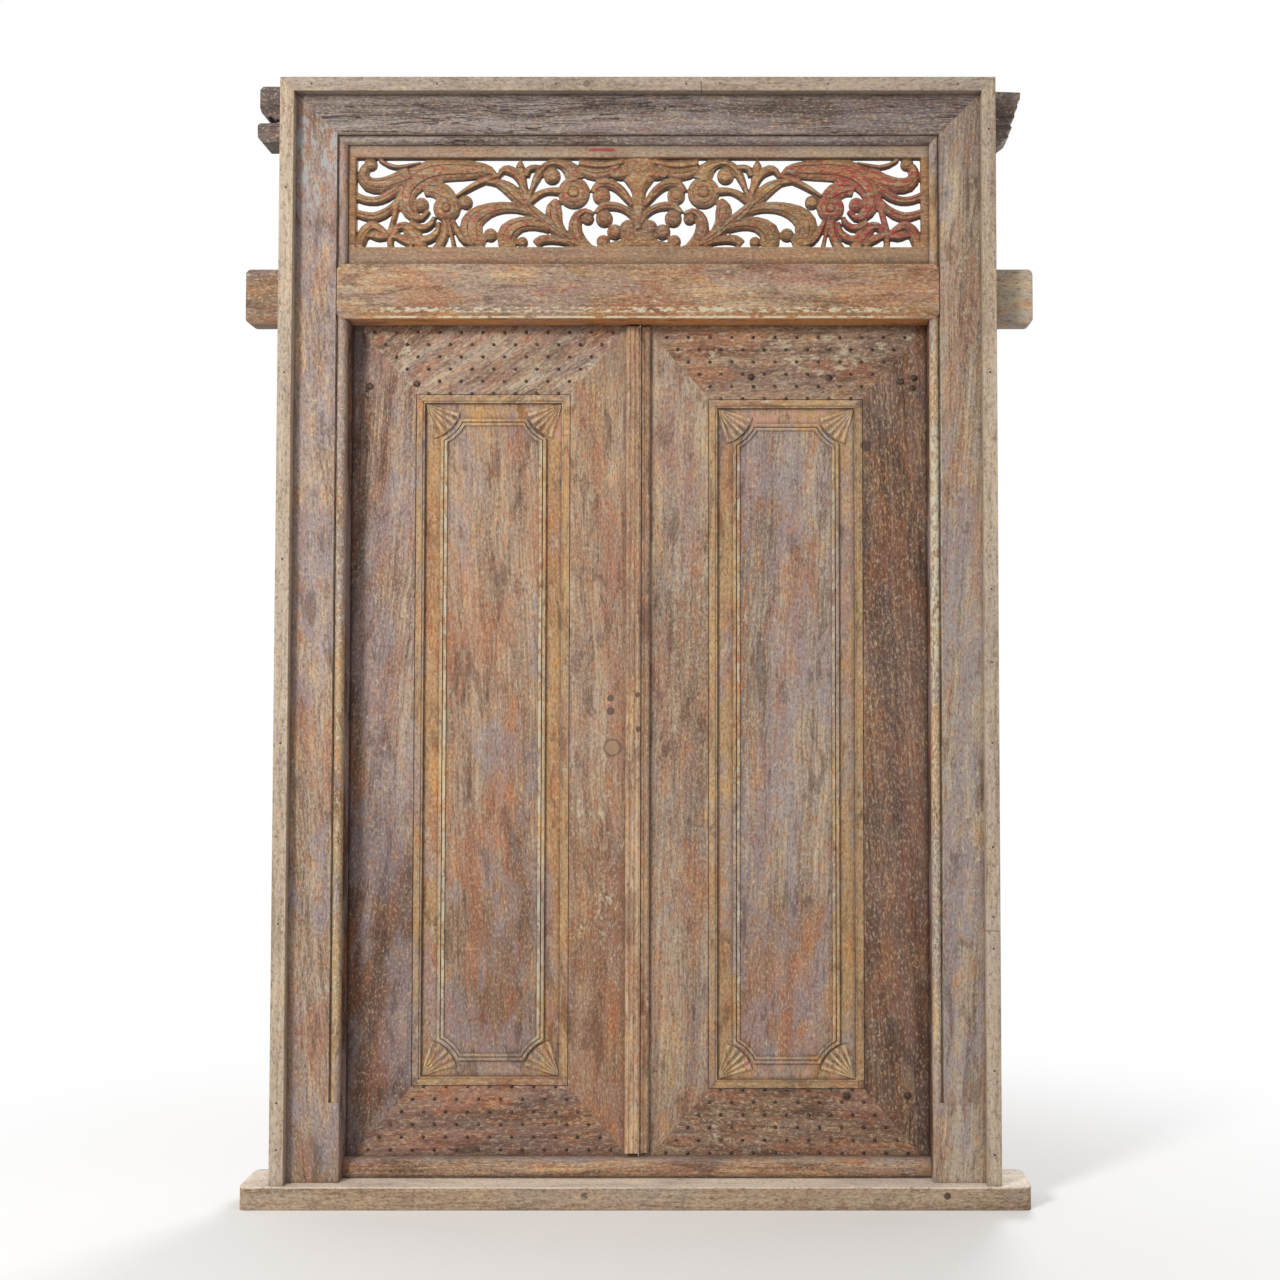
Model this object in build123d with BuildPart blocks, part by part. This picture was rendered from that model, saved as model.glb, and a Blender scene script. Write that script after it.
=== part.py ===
from build123d import *
from math import cos, hypot, radians, sin
import os

# An antique temple door of teak: two panelled leaves that turn on wooden pivots in a heavy
# frame, with a pierced carving between transom and head. The front faces minus Y, Z is up,
# and the origin lies under the middle of the sill. All sizes are millimetres.

# Frame, in height
sill_height = 52
threshold_top = 95
transom_bottom = 2030
transom_top = 2158
head_bottom = 2440
head_top = 2586
strip_top = 2588

# Frame, in width, measured from the centre line
clear_half = 676
frame_half = 827
sill_half = 893

# Frame, in depth
sill_front = -75
sill_back = 75
frame_front = -40
frame_back = 75
lap_back = -10
transom_front = -42
tenon_front = 10
tenon_back = 70
threshold_front = -6
threshold_round = 22
threshold_undercut = 12
sill_end_round = 16

# Rebate of posts and transom behind which the leaves close
rebate_front = 30
rebate_side = 14
rebate_top = 16

# Round bead along the inner arris of posts and head
bead_width = 22
quirk_width = 2
quirk_depth = 7
bead_stop = 232
transom_lap = 22
lap_corner = 11

# Joints of the frame
foot_tenon_height = 30
foot_tenon_x = (735, 790)
head_tenon_height = 70
cheek_tenon_y = (12, 50)

# Horns, where the beams run on past the posts
horn_drop = 8
horn_foot = 2454
transom_horn_half = 923
horn_corner = 13

# Carved board
board_front = -28
board_back = -6
board_groove = 10
field_half = 658
field_bottom = 2202
field_height = 208
layout_unit = 2.33
layout_rise = 2.4
carving_shoulder = 13
border_bevel = 3
leaf_top_share = 0.42
leaf_rise = 7
leaf_rise_step = 0.8
ball_rise = 6

# Edge strips
strip_width = 32
strip_depth = 28
strip_foot = sill_height
strip_joint_height = 624
strip_joint_x = 147
joint_gap = 1

# Leaves
leaf_bottom = 60
leaf_top = 2042
leaf_front = 33
leaf_thickness = 36
leaf_edge = 1.5
heel_clearance = 4
opening_inner = 183
opening_outer = 505
shoulder_inner = 37
shoulder_outer = 650
mitre_rise = 165
rail_tenon_reach = 90
rail_tenon_low = 30
rail_tenon_high = 118
tongue_front = 45
tongue_back = 57
tongue_depth = 12
tongue_play = 0.5
panel_margin_front = 43
panel_back = 61
sight_width = 19
sight_step = 5
sight_quirk = 2
openings = {"left": (275, 1847), "right": (268, 1835)}

# Raised frame and fans of the panels
border_inset = 37
border_width = 16
border_front = 36
field_front = 39
scoop_radius = 91
fan_ribs = 5
fan_reach = 84
fan_half_angle = 9
fan_clear_angle = 13
fan_dip = 7
fan_tip = 1
fan_seat = 1

# Pivots
pivot_radius = 14
pivot_play = 0.1
pivot_top = 34
socket_top = 38
pivot_foot_seat = 0.3
socket_depth = 30

# Cover strip of the left leaf
cover_left = -30
cover_step = 4
cover_right = 25
cover_bottom = 103
cover_top = 2025
cover_wide_depth = 14
cover_narrow_depth = 9
cover_play = 0.8
reed_radius = 5
reed_sink = 3

# Nails
nail_pitch = 51
nail_row = 29
nail_rows = 6
nail_first_row = 22
nail_edge = 22
small_head = 9
small_head_rise = 3.5
small_shank = 3.6
small_length = 28
large_head = 17
large_head_rise = 6
large_shank = 6
large_length = 32
strip_nail_head = 4.4
strip_nail_rise = 1
strip_nail_shank = 2.2
strip_nail_length = 45

# Plugs in the front of the sill
plug_radius = 8
plug_depth = 30
plug_height = 32
plug_places = (-114, 703)

os.makedirs("parts", exist_ok=True)


def at_depth(y):
    """A drawing plane seen from the front, at the given depth"""
    return Plane.XZ.offset(-y)


def block(x, y, z, mode=Mode.ADD):
    """A squared piece given by its two limits along each axis"""
    middle = ((x[0] + x[1]) / 2, (y[0] + y[1]) / 2, (z[0] + z[1]) / 2)
    with Locations(middle):
        Box(abs(x[1] - x[0]), y[1] - y[0], z[1] - z[0], mode=mode)


def slab(points, y, mode=Mode.ADD):
    """A board with the given front outline, between two depths"""
    with BuildSketch(at_depth(y[1])) as face:
        with BuildLine():
            Polyline(*points, close=True)
        make_face()
    extrude(face.sketch, amount=y[1] - y[0], mode=mode)


def save(piece, name):
    """Names the finished piece and writes its file"""
    piece.label = name
    export_step(piece, f"parts/{name}.step")


# Nails: a square shank drawn to a point under a four-faced head
def nail_points(head, rise, shank, length):
    """One nail driven into a face that looks to the front, its head seated at the origin"""
    with BuildPart() as nail:
        with BuildSketch(Plane.XZ) as foot:
            Rectangle(head, head)
        loft([foot.sketch.face(), Vertex(0, -rise, 0)], ruled=True)
        with BuildSketch(Plane.XZ) as neck:
            Rectangle(shank, shank)
        loft([neck.sketch.face(), Vertex(0, length, 0)], ruled=True)
    return nail.part


small_nail = nail_points(small_head, small_head_rise, small_shank, small_length)
large_nail = nail_points(large_head, large_head_rise, large_shank, large_length)
strip_nail = nail_points(strip_nail_head, strip_nail_rise, strip_nail_shank, strip_nail_length)


def nails(nail, places, face, mode=Mode.ADD):
    """Like nails at the given places of a front face"""
    with Locations(*[(x, face, z) for x, z in places]):
        add(nail, mode=mode)


# Sill and threshold
foot_tenon_z = (sill_height - foot_tenon_height, sill_height)
heel_radius = leaf_thickness / 2
rebate_half = clear_half + rebate_side
axis_x = rebate_half - heel_clearance - heel_radius
axis_y = leaf_front + heel_radius
socket_radius = pivot_radius + pivot_play


def sockets(bottom, height):
    """The two round holes in which the pivots turn"""
    with Locations((-axis_x, axis_y, bottom), (axis_x, axis_y, bottom)):
        upright = (Align.CENTER, Align.CENTER, Align.MIN)
        Cylinder(socket_radius, height, align=upright, mode=Mode.SUBTRACT)


def plugs(mode=Mode.ADD):
    """Round plugs let in flush with the front of the sill"""
    places = [(x, plug_height) for x in plug_places]
    with BuildSketch(at_depth(sill_front + plug_depth)) as rounds:
        with Locations(*places):
            Circle(plug_radius)
    extrude(rounds.sketch, amount=plug_depth, mode=mode)


with BuildPart() as sill:
    block((-sill_half, sill_half), (sill_front, sill_back), (0, sill_height))
    fillet(sill.edges().filter_by(Axis.Z), sill_end_round)
    for side in (-1, 1):
        block([side * x for x in foot_tenon_x], cheek_tenon_y, foot_tenon_z, Mode.SUBTRACT)
    sockets(sill_height - socket_depth, socket_depth)
    plugs(Mode.SUBTRACT)

with BuildPart() as sill_plugs:
    plugs()

with BuildPart() as threshold:
    block((-clear_half, clear_half), (threshold_front, rebate_front), (sill_height, threshold_top))
    front_arris = threshold.edges().filter_by(Axis.X).group_by(Axis.Y)[0].sort_by(Axis.Z)[-1]
    fillet(front_arris, threshold_round)
    front_foot = threshold.edges().filter_by(Axis.X).group_by(Axis.Z)[0].sort_by(Axis.Y)[0]
    fillet(front_foot, threshold_undercut)

# Strip nails: places on the strips, seen from the front
strip_outer = frame_half
strip_middle = frame_half - strip_width / 2
top_strip_middle = strip_top - strip_width / 2
left_strip_nails = [(-strip_middle, z) for z in (133, 238, 640, 1050, 1470, 1900, 2330)]
right_lower_nails = [(strip_middle, z) for z in (122, 310, 584)]
right_upper_nails = [(strip_middle, z) for z in (656, 814, 1050, 1234, 1401, 1900, 2466)]
top_left_nails = [(x, top_strip_middle) for x in (-754, -464, -189, 112)]
top_right_nails = [(x, top_strip_middle) for x in (190, 440, 740)]
strip_front = frame_front - strip_depth
all_strip_nails = left_strip_nails + right_lower_nails + right_upper_nails
all_strip_nails += top_left_nails + top_right_nails

# Posts
mitre_x = clear_half + head_top - head_bottom
bead_radius = bead_width / 2
bead_axis_y = frame_front + bead_radius
cheek_bottom = head_bottom - horn_drop
transom_z = (transom_bottom, transom_top)
board_y = (board_front, board_back)


def lap_outline(half):
    """Front of the transom, with its four corners clipped"""
    c = lap_corner
    low, high = transom_z
    corners = [(half, low + c), (half, high - c), (half - c, high)]
    corners += [(c - half, high), (-half, high - c), (-half, low + c)]
    corners += [(c - half, low), (half - c, low)]
    return corners


def make_post(side):
    """A post with its rebate, stopped bead, mortise and mitred top"""
    with BuildPart() as post:
        block((side * clear_half, side * frame_half), (frame_front, frame_back),
              (sill_height, cheek_bottom))
        # Mitred cheek that rises in front of the head
        cheek = [(clear_half, cheek_bottom), (frame_half, cheek_bottom), (frame_half, head_top),
                 (mitre_x, head_top), (clear_half, head_bottom)]
        slab([(side * x, z) for x, z in cheek], (frame_front, lap_back))
        tenon_x = [side * x for x in foot_tenon_x]
        block(tenon_x, cheek_tenon_y, foot_tenon_z)
        block(tenon_x, cheek_tenon_y, (cheek_bottom, cheek_bottom + head_tenon_height))
        # Rebate for the leaf, mortise and lap for the transom, groove for the carved board
        block((side * clear_half, side * rebate_half), (rebate_front, frame_back),
              (sill_height, transom_bottom + rebate_top), Mode.SUBTRACT)
        block((side * clear_half, side * frame_half), (tenon_front, tenon_back),
              transom_z, Mode.SUBTRACT)
        slab(lap_outline(clear_half + transom_lap), (frame_front, lap_back), Mode.SUBTRACT)
        block((side * clear_half, side * (clear_half + board_groove)), board_y,
              (transom_top, head_bottom + board_groove), Mode.SUBTRACT)
        # Bead: what stands round it is cut away
        with BuildSketch(Plane.XY.offset(bead_stop)) as waste:
            reach = bead_width + quirk_width
            with Locations((side * (clear_half + reach / 2), frame_front + quirk_depth / 2)):
                Rectangle(reach, quirk_depth)
            with Locations((side * (clear_half + bead_radius), bead_axis_y)):
                Circle(bead_radius, mode=Mode.SUBTRACT)
        extrude(waste.sketch, amount=head_top - bead_stop, mode=Mode.SUBTRACT)
        nails(strip_nail, all_strip_nails, strip_front, Mode.SUBTRACT)
    return post.part


# Head, with the beam's broken ends left of and right of the posts
broken_right = [(frame_half, head_top), (836, 2574), (894, 2572), (893, 2557), (886, 2552),
                (887, 2537), (879, 2532), (880, 2514), (866, 2498), (874, 2489), (859, 2477),
                (866, 2468), (848, horn_foot), (frame_half, horn_foot), (frame_half, cheek_bottom)]
broken_left = [(-frame_half, cheek_bottom), (-frame_half, horn_foot), (-884, horn_foot),
               (-894, 2466), (-894, 2494), (-888, 2499), (-852, 2499), (-838, 2504),
               (-838, 2510), (-853, 2508), (-864, 2516), (-872, 2513), (-885, 2524),
               (-889, 2536), (-889, 2578), (-882, head_top)]

with BuildPart() as head_beam:
    underside = [(clear_half, cheek_bottom), (clear_half, head_bottom),
                 (-clear_half, head_bottom), (-clear_half, cheek_bottom)]
    slab(broken_right + underside + broken_left, (lap_back, frame_back))
    slab([(clear_half, head_bottom), (mitre_x, head_top), (-mitre_x, head_top),
          (-clear_half, head_bottom)], (frame_front, lap_back))
    for side in (-1, 1):
        block([side * x for x in foot_tenon_x], cheek_tenon_y,
              (cheek_bottom, cheek_bottom + head_tenon_height), Mode.SUBTRACT)
    # The board's groove runs as far as the grooves of the posts
    block((-clear_half - board_groove, clear_half + board_groove), board_y,
          (cheek_bottom, head_bottom + board_groove), Mode.SUBTRACT)
    with BuildSketch(Plane.YZ.offset(-mitre_x)) as head_waste:
        reach = bead_width + quirk_width
        with Locations((frame_front + quirk_depth / 2, head_bottom + reach / 2)):
            Rectangle(quirk_depth, reach)
        with Locations((bead_axis_y, head_bottom + bead_radius)):
            Circle(bead_radius, mode=Mode.SUBTRACT)
    extrude(head_waste.sketch, amount=2 * mitre_x, mode=Mode.SUBTRACT)
    nails(strip_nail, all_strip_nails, strip_front, Mode.SUBTRACT)

# Transom: a through tenon whose ends stand out as horns, and a lapped face
with BuildPart() as transom:
    block((-clear_half, clear_half), (lap_back, frame_back), transom_z)
    slab(lap_outline(clear_half + transom_lap), (transom_front, lap_back))
    with BuildSketch(at_depth(tenon_back)) as through:
        with Locations((0, (transom_bottom + transom_top) / 2)):
            RectangleRounded(2 * transom_horn_half, transom_top - transom_bottom, horn_corner)
    extrude(through.sketch, amount=tenon_back - tenon_front)
    block((-rebate_half, rebate_half), (rebate_front, frame_back),
          (transom_bottom, transom_bottom + rebate_top), Mode.SUBTRACT)
    sockets(transom_bottom + rebate_top, socket_top)

# Edge strips
strip_y = (strip_front, frame_front)
inner_strip = frame_half - strip_width
top_inner = strip_top - strip_width


def side_strip(side, bottom, top_points, places):
    """An upright strip; top_points closes its upper end, from outside to inside"""
    with BuildPart() as strip:
        outline = [(inner_strip, bottom), (frame_half, bottom)] + top_points
        slab([(side * x, z) for x, z in outline], strip_y)
        nails(strip_nail, places, strip_front, Mode.SUBTRACT)
    return strip.part


mitred_end = [(frame_half, strip_top), (inner_strip, top_inner)]
joint_low = strip_joint_height - joint_gap / 2
joint_high = strip_joint_height + joint_gap / 2
butt_end = [(frame_half, joint_low), (inner_strip, joint_low)]
save(side_strip(-1, strip_foot, mitred_end, left_strip_nails), "left_edge_strip")
save(side_strip(1, strip_foot, butt_end, right_lower_nails), "right_edge_strip_lower")
save(side_strip(1, joint_high, mitred_end, right_upper_nails), "right_edge_strip_upper")

with BuildPart() as top_strip_left:
    end_x = strip_joint_x - joint_gap / 2
    slab([(-inner_strip, top_inner), (end_x, top_inner), (end_x, strip_top),
          (-frame_half, strip_top)], strip_y)
    nails(strip_nail, top_left_nails, strip_front, Mode.SUBTRACT)

with BuildPart() as top_strip_right:
    end_x = strip_joint_x + joint_gap / 2
    slab([(end_x, top_inner), (inner_strip, top_inner), (frame_half, strip_top),
          (end_x, strip_top)], strip_y)
    nails(strip_nail, top_right_nails, strip_front, Mode.SUBTRACT)

with BuildPart() as strip_nails:
    nails(strip_nail, all_strip_nails, strip_front)

save(sill.part, "sill")
save(sill_plugs.part, "sill_plugs")
save(threshold.part, "threshold")
save(make_post(-1), "left_post")
save(make_post(1), "right_post")
save(head_beam.part, "head_beam")
save(transom.part, "transom")
save(top_strip_left.part, "top_edge_strip_left")
save(top_strip_right.part, "top_edge_strip_right")
save(strip_nails.part, "strip_nails")


# Carving: the setting out of its left half. A run is a leaf or a stem, given by the distance
# from the centre line, the height above the foot of the field and the width, in layout units
leaf_runs = {
    "corner_volute": [(273, 80, 9), (276.5, 71, 12), (271, 62.5, 15), (259, 61, 16),
                      (245, 64.5, 17), (229, 71, 20)],
    "corner_blade": [(260, 86, 4), (251, 81, 5), (241, 79, 5), (231, 80.5, 4.5), (219, 83, 3)],
    "great_leaf": [(142, 70, 2), (149, 75, 10), (161, 76, 17), (179, 76, 20), (199, 76, 23),
                   (217, 71, 25), (229, 61, 23), (233, 50, 18), (232, 39, 15), (226, 31, 11),
                   (217, 29, 7), (210, 36, 4)],
    "flower_hood": [(216, 56, 12), (207, 58, 16), (196, 54, 18), (187, 46, 13), (181, 36, 6)],
    "thin_stem": [(183, 50, 4), (172, 57, 6), (161, 63, 7), (149, 67.5, 6), (141, 70, 3)],
    "trefoil_left": [(141, 68, 3), (137.5, 75, 7), (131, 76.5, 10), (123, 72, 9),
                     (117, 62, 7), (112, 48, 5)],
    "trefoil_leaf": [(153, 64, 4), (143, 64, 8), (132, 59, 13), (123, 51.5, 14), (115, 43, 10)],
    "trefoil_bud": [(118.5, 86, 1), (119, 81, 8), (117.5, 73, 9), (115, 63, 6), (112, 50, 6)],
    "trefoil_right": [(113, 70, 7), (110, 77, 7), (104, 78.5, 7), (97, 78, 6)],
    "arched_stem": [(111, 46, 5), (107, 57, 5), (103, 67, 8), (97, 77, 9), (88, 83, 7),
                    (77, 82, 10), (68, 76, 17), (63, 66, 18)],
    "flower_blade": [(109, 44, 6), (102, 51, 8), (93, 55, 7), (84, 55.5, 8), (76, 55, 8)],
    "lobed_leaf": [(81, 47, 7), (84.5, 40, 15), (85, 32, 17), (82, 23, 13), (76, 15, 9),
                   (69, 8, 7)],
    "main_stem": [(115, 48, 6), (111, 40, 10), (104, 33, 12), (93, 25, 11), (81, 15, 10),
                  (68, 7, 10), (55, 2, 8), (41, -2, 5)],
    "second_scroll": [(89, 20, 12), (103, 23.5, 13), (118, 23, 15), (130, 16, 20),
                      (132, 6, 19), (125, -1, 12)],
    "third_scroll": [(103, 3, 10), (97, 7.5, 10), (86, 8, 9), (74, 6, 8), (65, 3, 8)],
    "great_scroll": [(110, 35, 8), (122, 39, 10), (137, 39.5, 11.5), (151, 36.5, 15),
                     (164, 29, 21), (168, 19, 23), (164, 8, 20), (154, 3, 12)],
    "upper_crescent": [(205, 30, 4), (207, 24, 7), (213.5, 19.5, 8), (222, 20, 8), (229, 25, 6)],
    "lower_crescent": [(200, 25, 4), (201, 17, 7), (206, 10.5, 9), (214, 7.5, 9), (223, 9, 9)],
    "strand_left": [(194, 26, 5), (194, 14, 8), (197, 6, 9), (202, -2, 10)],
    "strand_middle": [(190.5, 26, 4), (187.5, 13, 4), (184, -2, 5)],
    "strand_right": [(186, 26, 5), (181, 15, 7), (174, 6, 8), (165, 3, 6)],
    "inner_arch": [(246, 9, 4), (242, 18.5, 8), (235, 21, 10), (227, 14.5, 15), (221, 6, 14),
                   (215, -2, 10)],
    "inner_almond": [(246.5, 10, 2), (241, 10, 8), (234, 7, 9), (226, 2, 7)],
    "arch_stem": [(241, 45, 5), (244, 33, 5.5), (247, 22, 6), (249, 11, 7), (248, -2, 6)],
    "outer_arch": [(280, -2, 9), (277.5, 9, 12), (273, 17, 12), (266, 21, 10), (258, 17.5, 8),
                   (250, 11, 5)],
    "outer_almond": [(271, 10.5, 2), (266, 11.5, 8), (259, 11, 10), (251, 10, 5)],
    "side_blade_high": [(285, 51, 9), (275, 47, 8.5), (264, 46, 8.5), (253, 49.5, 9),
                        (241, 58, 10)],
    "side_blade_low": [(285, 34.5, 8), (276, 31.5, 9), (266, 30, 10), (256, 33, 10),
                       (247, 39.5, 8), (239, 49, 6)],
    "hooked_leaf": [(45, 33, 4), (53, 35.5, 7), (60.5, 32, 10), (63.5, 24, 13), (63, 15, 14),
                    (58, 6, 13), (49, -2, 10)],
    "upper_spiral": [(46, 54, 6), (40, 61.5, 10), (30, 62.5, 10), (21, 58.5, 10),
                     (14, 51.5, 9), (6, 41, 6)],
    "lower_spiral": [(43, 34, 5), (36, 40, 8), (26, 41, 9), (16, 38.5, 8), (7, 32.5, 8),
                     (1, 23, 8)],
    "swag_low": [(60, 77, 8), (50, 73.5, 12), (39, 72, 12), (29, 74.5, 11), (20, 81, 6)],
    "swag_high": [(60, 83, 8), (45, 81, 9), (31, 81, 8), (15, 84, 6)],
    "crown_lobe": [(27, 69, 4), (20, 72, 12), (8, 74, 14)],
    "base_leaf": [(43, -2, 6), (25, 2, 8), (10, 4, 10), (0, 4, 10)],
}
crown = [(0, 88, 40), (0, 78, 40), (0, 66, 30), (0, 58, 18), (0, 50, 13), (0, 40, 16),
         (0, 30, 9), (0, 18, 9)]

# Curl ends, buds and petals, as (distance from the centre line, height, radius)
balls = [(269, 82, 6.5), (218, 42, 7.5), (173.5, 44.5, 7), (87, 70.5, 8.5), (116.5, 5.5, 5.5),
         (148.5, 12.5, 6.8), (51, 28.5, 6.2), (37.5, 51, 9), (34.5, 28.5, 8.6),
         (10.5, 19.5, 8.2), (24, 15.5, 7.8), (35.5, 6, 6.8), (6, 9, 12)]
flowers = [(192.4, 38.5, 13.6), (65, 54, 16)]
shoulder_y = board_back - carving_shoulder


def through_stations(run):
    """Points of a smooth curve through the stations of a run, one between each two"""
    ends = [run[0]] + run + [run[-1]]
    points = []
    for n in range(1, len(run)):
        before, start, finish, after = ends[n - 1:n + 3]
        middle = [(9 * (b + c) - a - d) / 16 for a, b, c, d in zip(before, start, finish, after)]
        points += [start, tuple(middle)]
    return points + [run[-1]]


def leaf_face(run, share, y):
    """Outline of a leaf at one depth, with its width reduced to a share of the whole"""
    points = through_stations(run)
    one_side = []
    other_side = []
    for n, (u, v, width) in enumerate(points):
        before = points[max(n - 1, 0)]
        after = points[min(n + 1, len(points) - 1)]
        du = after[0] - before[0]
        dv = after[1] - before[1]
        half = width * share / 2 / hypot(du, dv)
        one_side.append((u - dv * half, v + du * half))
        other_side.append((u + dv * half, v - du * half))
    corners = one_side + other_side[::-1]
    with BuildSketch(at_depth(y)) as outline:
        with BuildLine():
            Polyline(*[(-u * layout_unit, field_bottom + v * layout_rise) for u, v in corners],
                     close=True)
        make_face()
    return outline.sketch.face()


def leaf_solid(run, rise):
    """A leaf: pierced right through, with its front bevelled up to a narrower top"""
    body = extrude(leaf_face(run, 1, board_back), amount=carving_shoulder)
    top = leaf_face(run, leaf_top_share, shoulder_y - rise)
    return body + loft([leaf_face(run, 1, shoulder_y), top], ruled=True)


def round_solid(u, v, radius, steps):
    """A bud or a flower: a disc under steps given as (share of radius at foot, at top, rise)"""
    place = at_depth(board_back) * Pos(-u * layout_unit, field_bottom + v * layout_rise)
    size = radius * layout_unit
    on_face = (Align.CENTER, Align.CENTER, Align.MIN)
    solid = place * Cylinder(size, carving_shoulder, align=on_face)
    level = carving_shoulder
    for foot, top, rise in steps:
        ring = Cone(size * foot, size * top, rise, align=on_face)
        solid += place * Pos(0, 0, level) * ring
        level += rise
    return solid


# Leaves that cross stand at slightly different heights, so that each keeps its edge
pieces = []
for n, run in enumerate(leaf_runs.values()):
    pieces.append(leaf_solid(run, leaf_rise - leaf_rise_step * (n % 4)))
for u, v, radius in balls:
    pieces.append(round_solid(u, v, radius, [(1, 0.55, ball_rise)]))
for u, v, radius in flowers:
    pieces.append(round_solid(u, v, radius, [(1, 0.7, ball_rise), (0.4, 0.2, 2)]))
left_half = pieces[0].fuse(*pieces[1:])
carving = left_half.fuse(mirror(left_half, about=Plane.YZ), leaf_solid(crown, leaf_rise))

with BuildPart() as carved_board:
    board_half = clear_half + board_groove
    block((-board_half, board_half), board_y, (transom_top, head_bottom + board_groove))
    block((-field_half, field_half), board_y, (field_bottom, field_bottom + field_height),
          Mode.SUBTRACT)
    front_rim = carved_board.faces().sort_by(Axis.Y)[0].inner_wires()[0].edges()
    chamfer(front_rim, border_bevel)
    add(carving)
save(carved_board.part, "carved_board")


# Leaves
leaf_y = (leaf_front, leaf_front + leaf_thickness)
tongue_y = (tongue_front, tongue_back)


def rail_outline(side, edge, rise, end):
    """Front of a rail: mitred from the panel opening, then squared at its shoulders"""
    corners = [(opening_inner, edge), (opening_outer, edge), (shoulder_outer, edge + rise),
               (shoulder_outer, end), (shoulder_inner, end), (shoulder_inner, edge + rise)]
    return [(side * x, z) for x, z in corners]


def rail_tenon(side, edge, way, mode=Mode.ADD):
    """The tenon that runs from stile to stile inside a rail"""
    z = sorted((edge + way * rail_tenon_low, edge + way * rail_tenon_high))
    x = [side * (opening_inner - rail_tenon_reach), side * (opening_outer + rail_tenon_reach)]
    block(x, tongue_y, z, mode)


def sight_moulding(side, low, high):
    """Stepped edge and fine groove round the panel opening, run on stiles and rails alike"""
    middle = (side * (opening_inner + opening_outer) / 2, (low + high) / 2)
    width = opening_outer - opening_inner
    height = high - low
    with BuildSketch(at_depth(leaf_front + sight_quirk)) as runs:
        with Locations(middle):
            outer = 2 * (sight_width + sight_quirk)
            Rectangle(width + outer, height + outer)
            Rectangle(width + 2 * sight_width, height + 2 * sight_width, mode=Mode.SUBTRACT)
            Rectangle(width + 2 * sight_step, height + 2 * sight_step)
    extrude(runs.sketch, amount=sight_quirk, mode=Mode.SUBTRACT)


def panel_groove(side, low, high):
    """Groove that holds the tongue of the panel"""
    block((side * (opening_inner - tongue_depth), side * (opening_outer + tongue_depth)),
          tongue_y, (low - tongue_depth, high + tongue_depth), Mode.SUBTRACT)


def row_places(side, edge, way, taken):
    """Staggered rows of small nails that widen with the rail, clear of the large ones"""
    centre = (opening_inner + opening_outer) / 2
    slope = (shoulder_outer - opening_outer) / mitre_rise
    places = []
    for row in range(nail_rows):
        height = nail_first_row + row * nail_row
        reach = centre - opening_inner + slope * height - nail_edge
        start = nail_pitch / 2 if row % 2 else 0
        steps = range(-nail_rows, nail_rows + 1)
        offsets = [start + step * nail_pitch for step in steps]
        for offset in offsets:
            place = (side * (centre + offset), edge + way * height)
            clear = all(hypot(place[0] - x, place[1] - z) > large_head for x, z in taken)
            if abs(offset) <= reach and clear:
                places.append(place)
    return places


def scooped(width, height, scoop, corner_x, corner_z):
    """A rectangle whose corners are hollowed by arcs about the corners of the opening"""
    with BuildSketch(Plane.XY) as shape:
        Rectangle(width, height)
        with Locations((corner_x, corner_z), (-corner_x, corner_z),
                       (corner_x, -corner_z), (-corner_x, -corner_z)):
            Circle(scoop, mode=Mode.SUBTRACT)
    return shape.sketch


def make_fan():
    """Ribs that spread from a corner: flat cones that rise as they leave it"""
    with BuildPart() as fan:
        for rib in range(fan_ribs):
            spread = (90 - 2 * fan_clear_angle) * (rib + 0.5) / fan_ribs
            angle = radians(fan_clear_angle + spread)
            run = (cos(angle), sin(radians(fan_dip)), sin(angle))
            wide = fan_tip + fan_reach * sin(radians(fan_half_angle))
            start = Plane(origin=(0, 0, 0), z_dir=run)
            cone = Cone(fan_tip, wide, fan_reach, align=(Align.CENTER, Align.CENTER, Align.MIN),
                        mode=Mode.PRIVATE)
            add(start * cone)
        block((0, 2 * fan_reach), (-fan_reach, fan_seat), (0, 2 * fan_reach), Mode.INTERSECT)
    return fan.part


corner_fan = make_fan()


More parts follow.
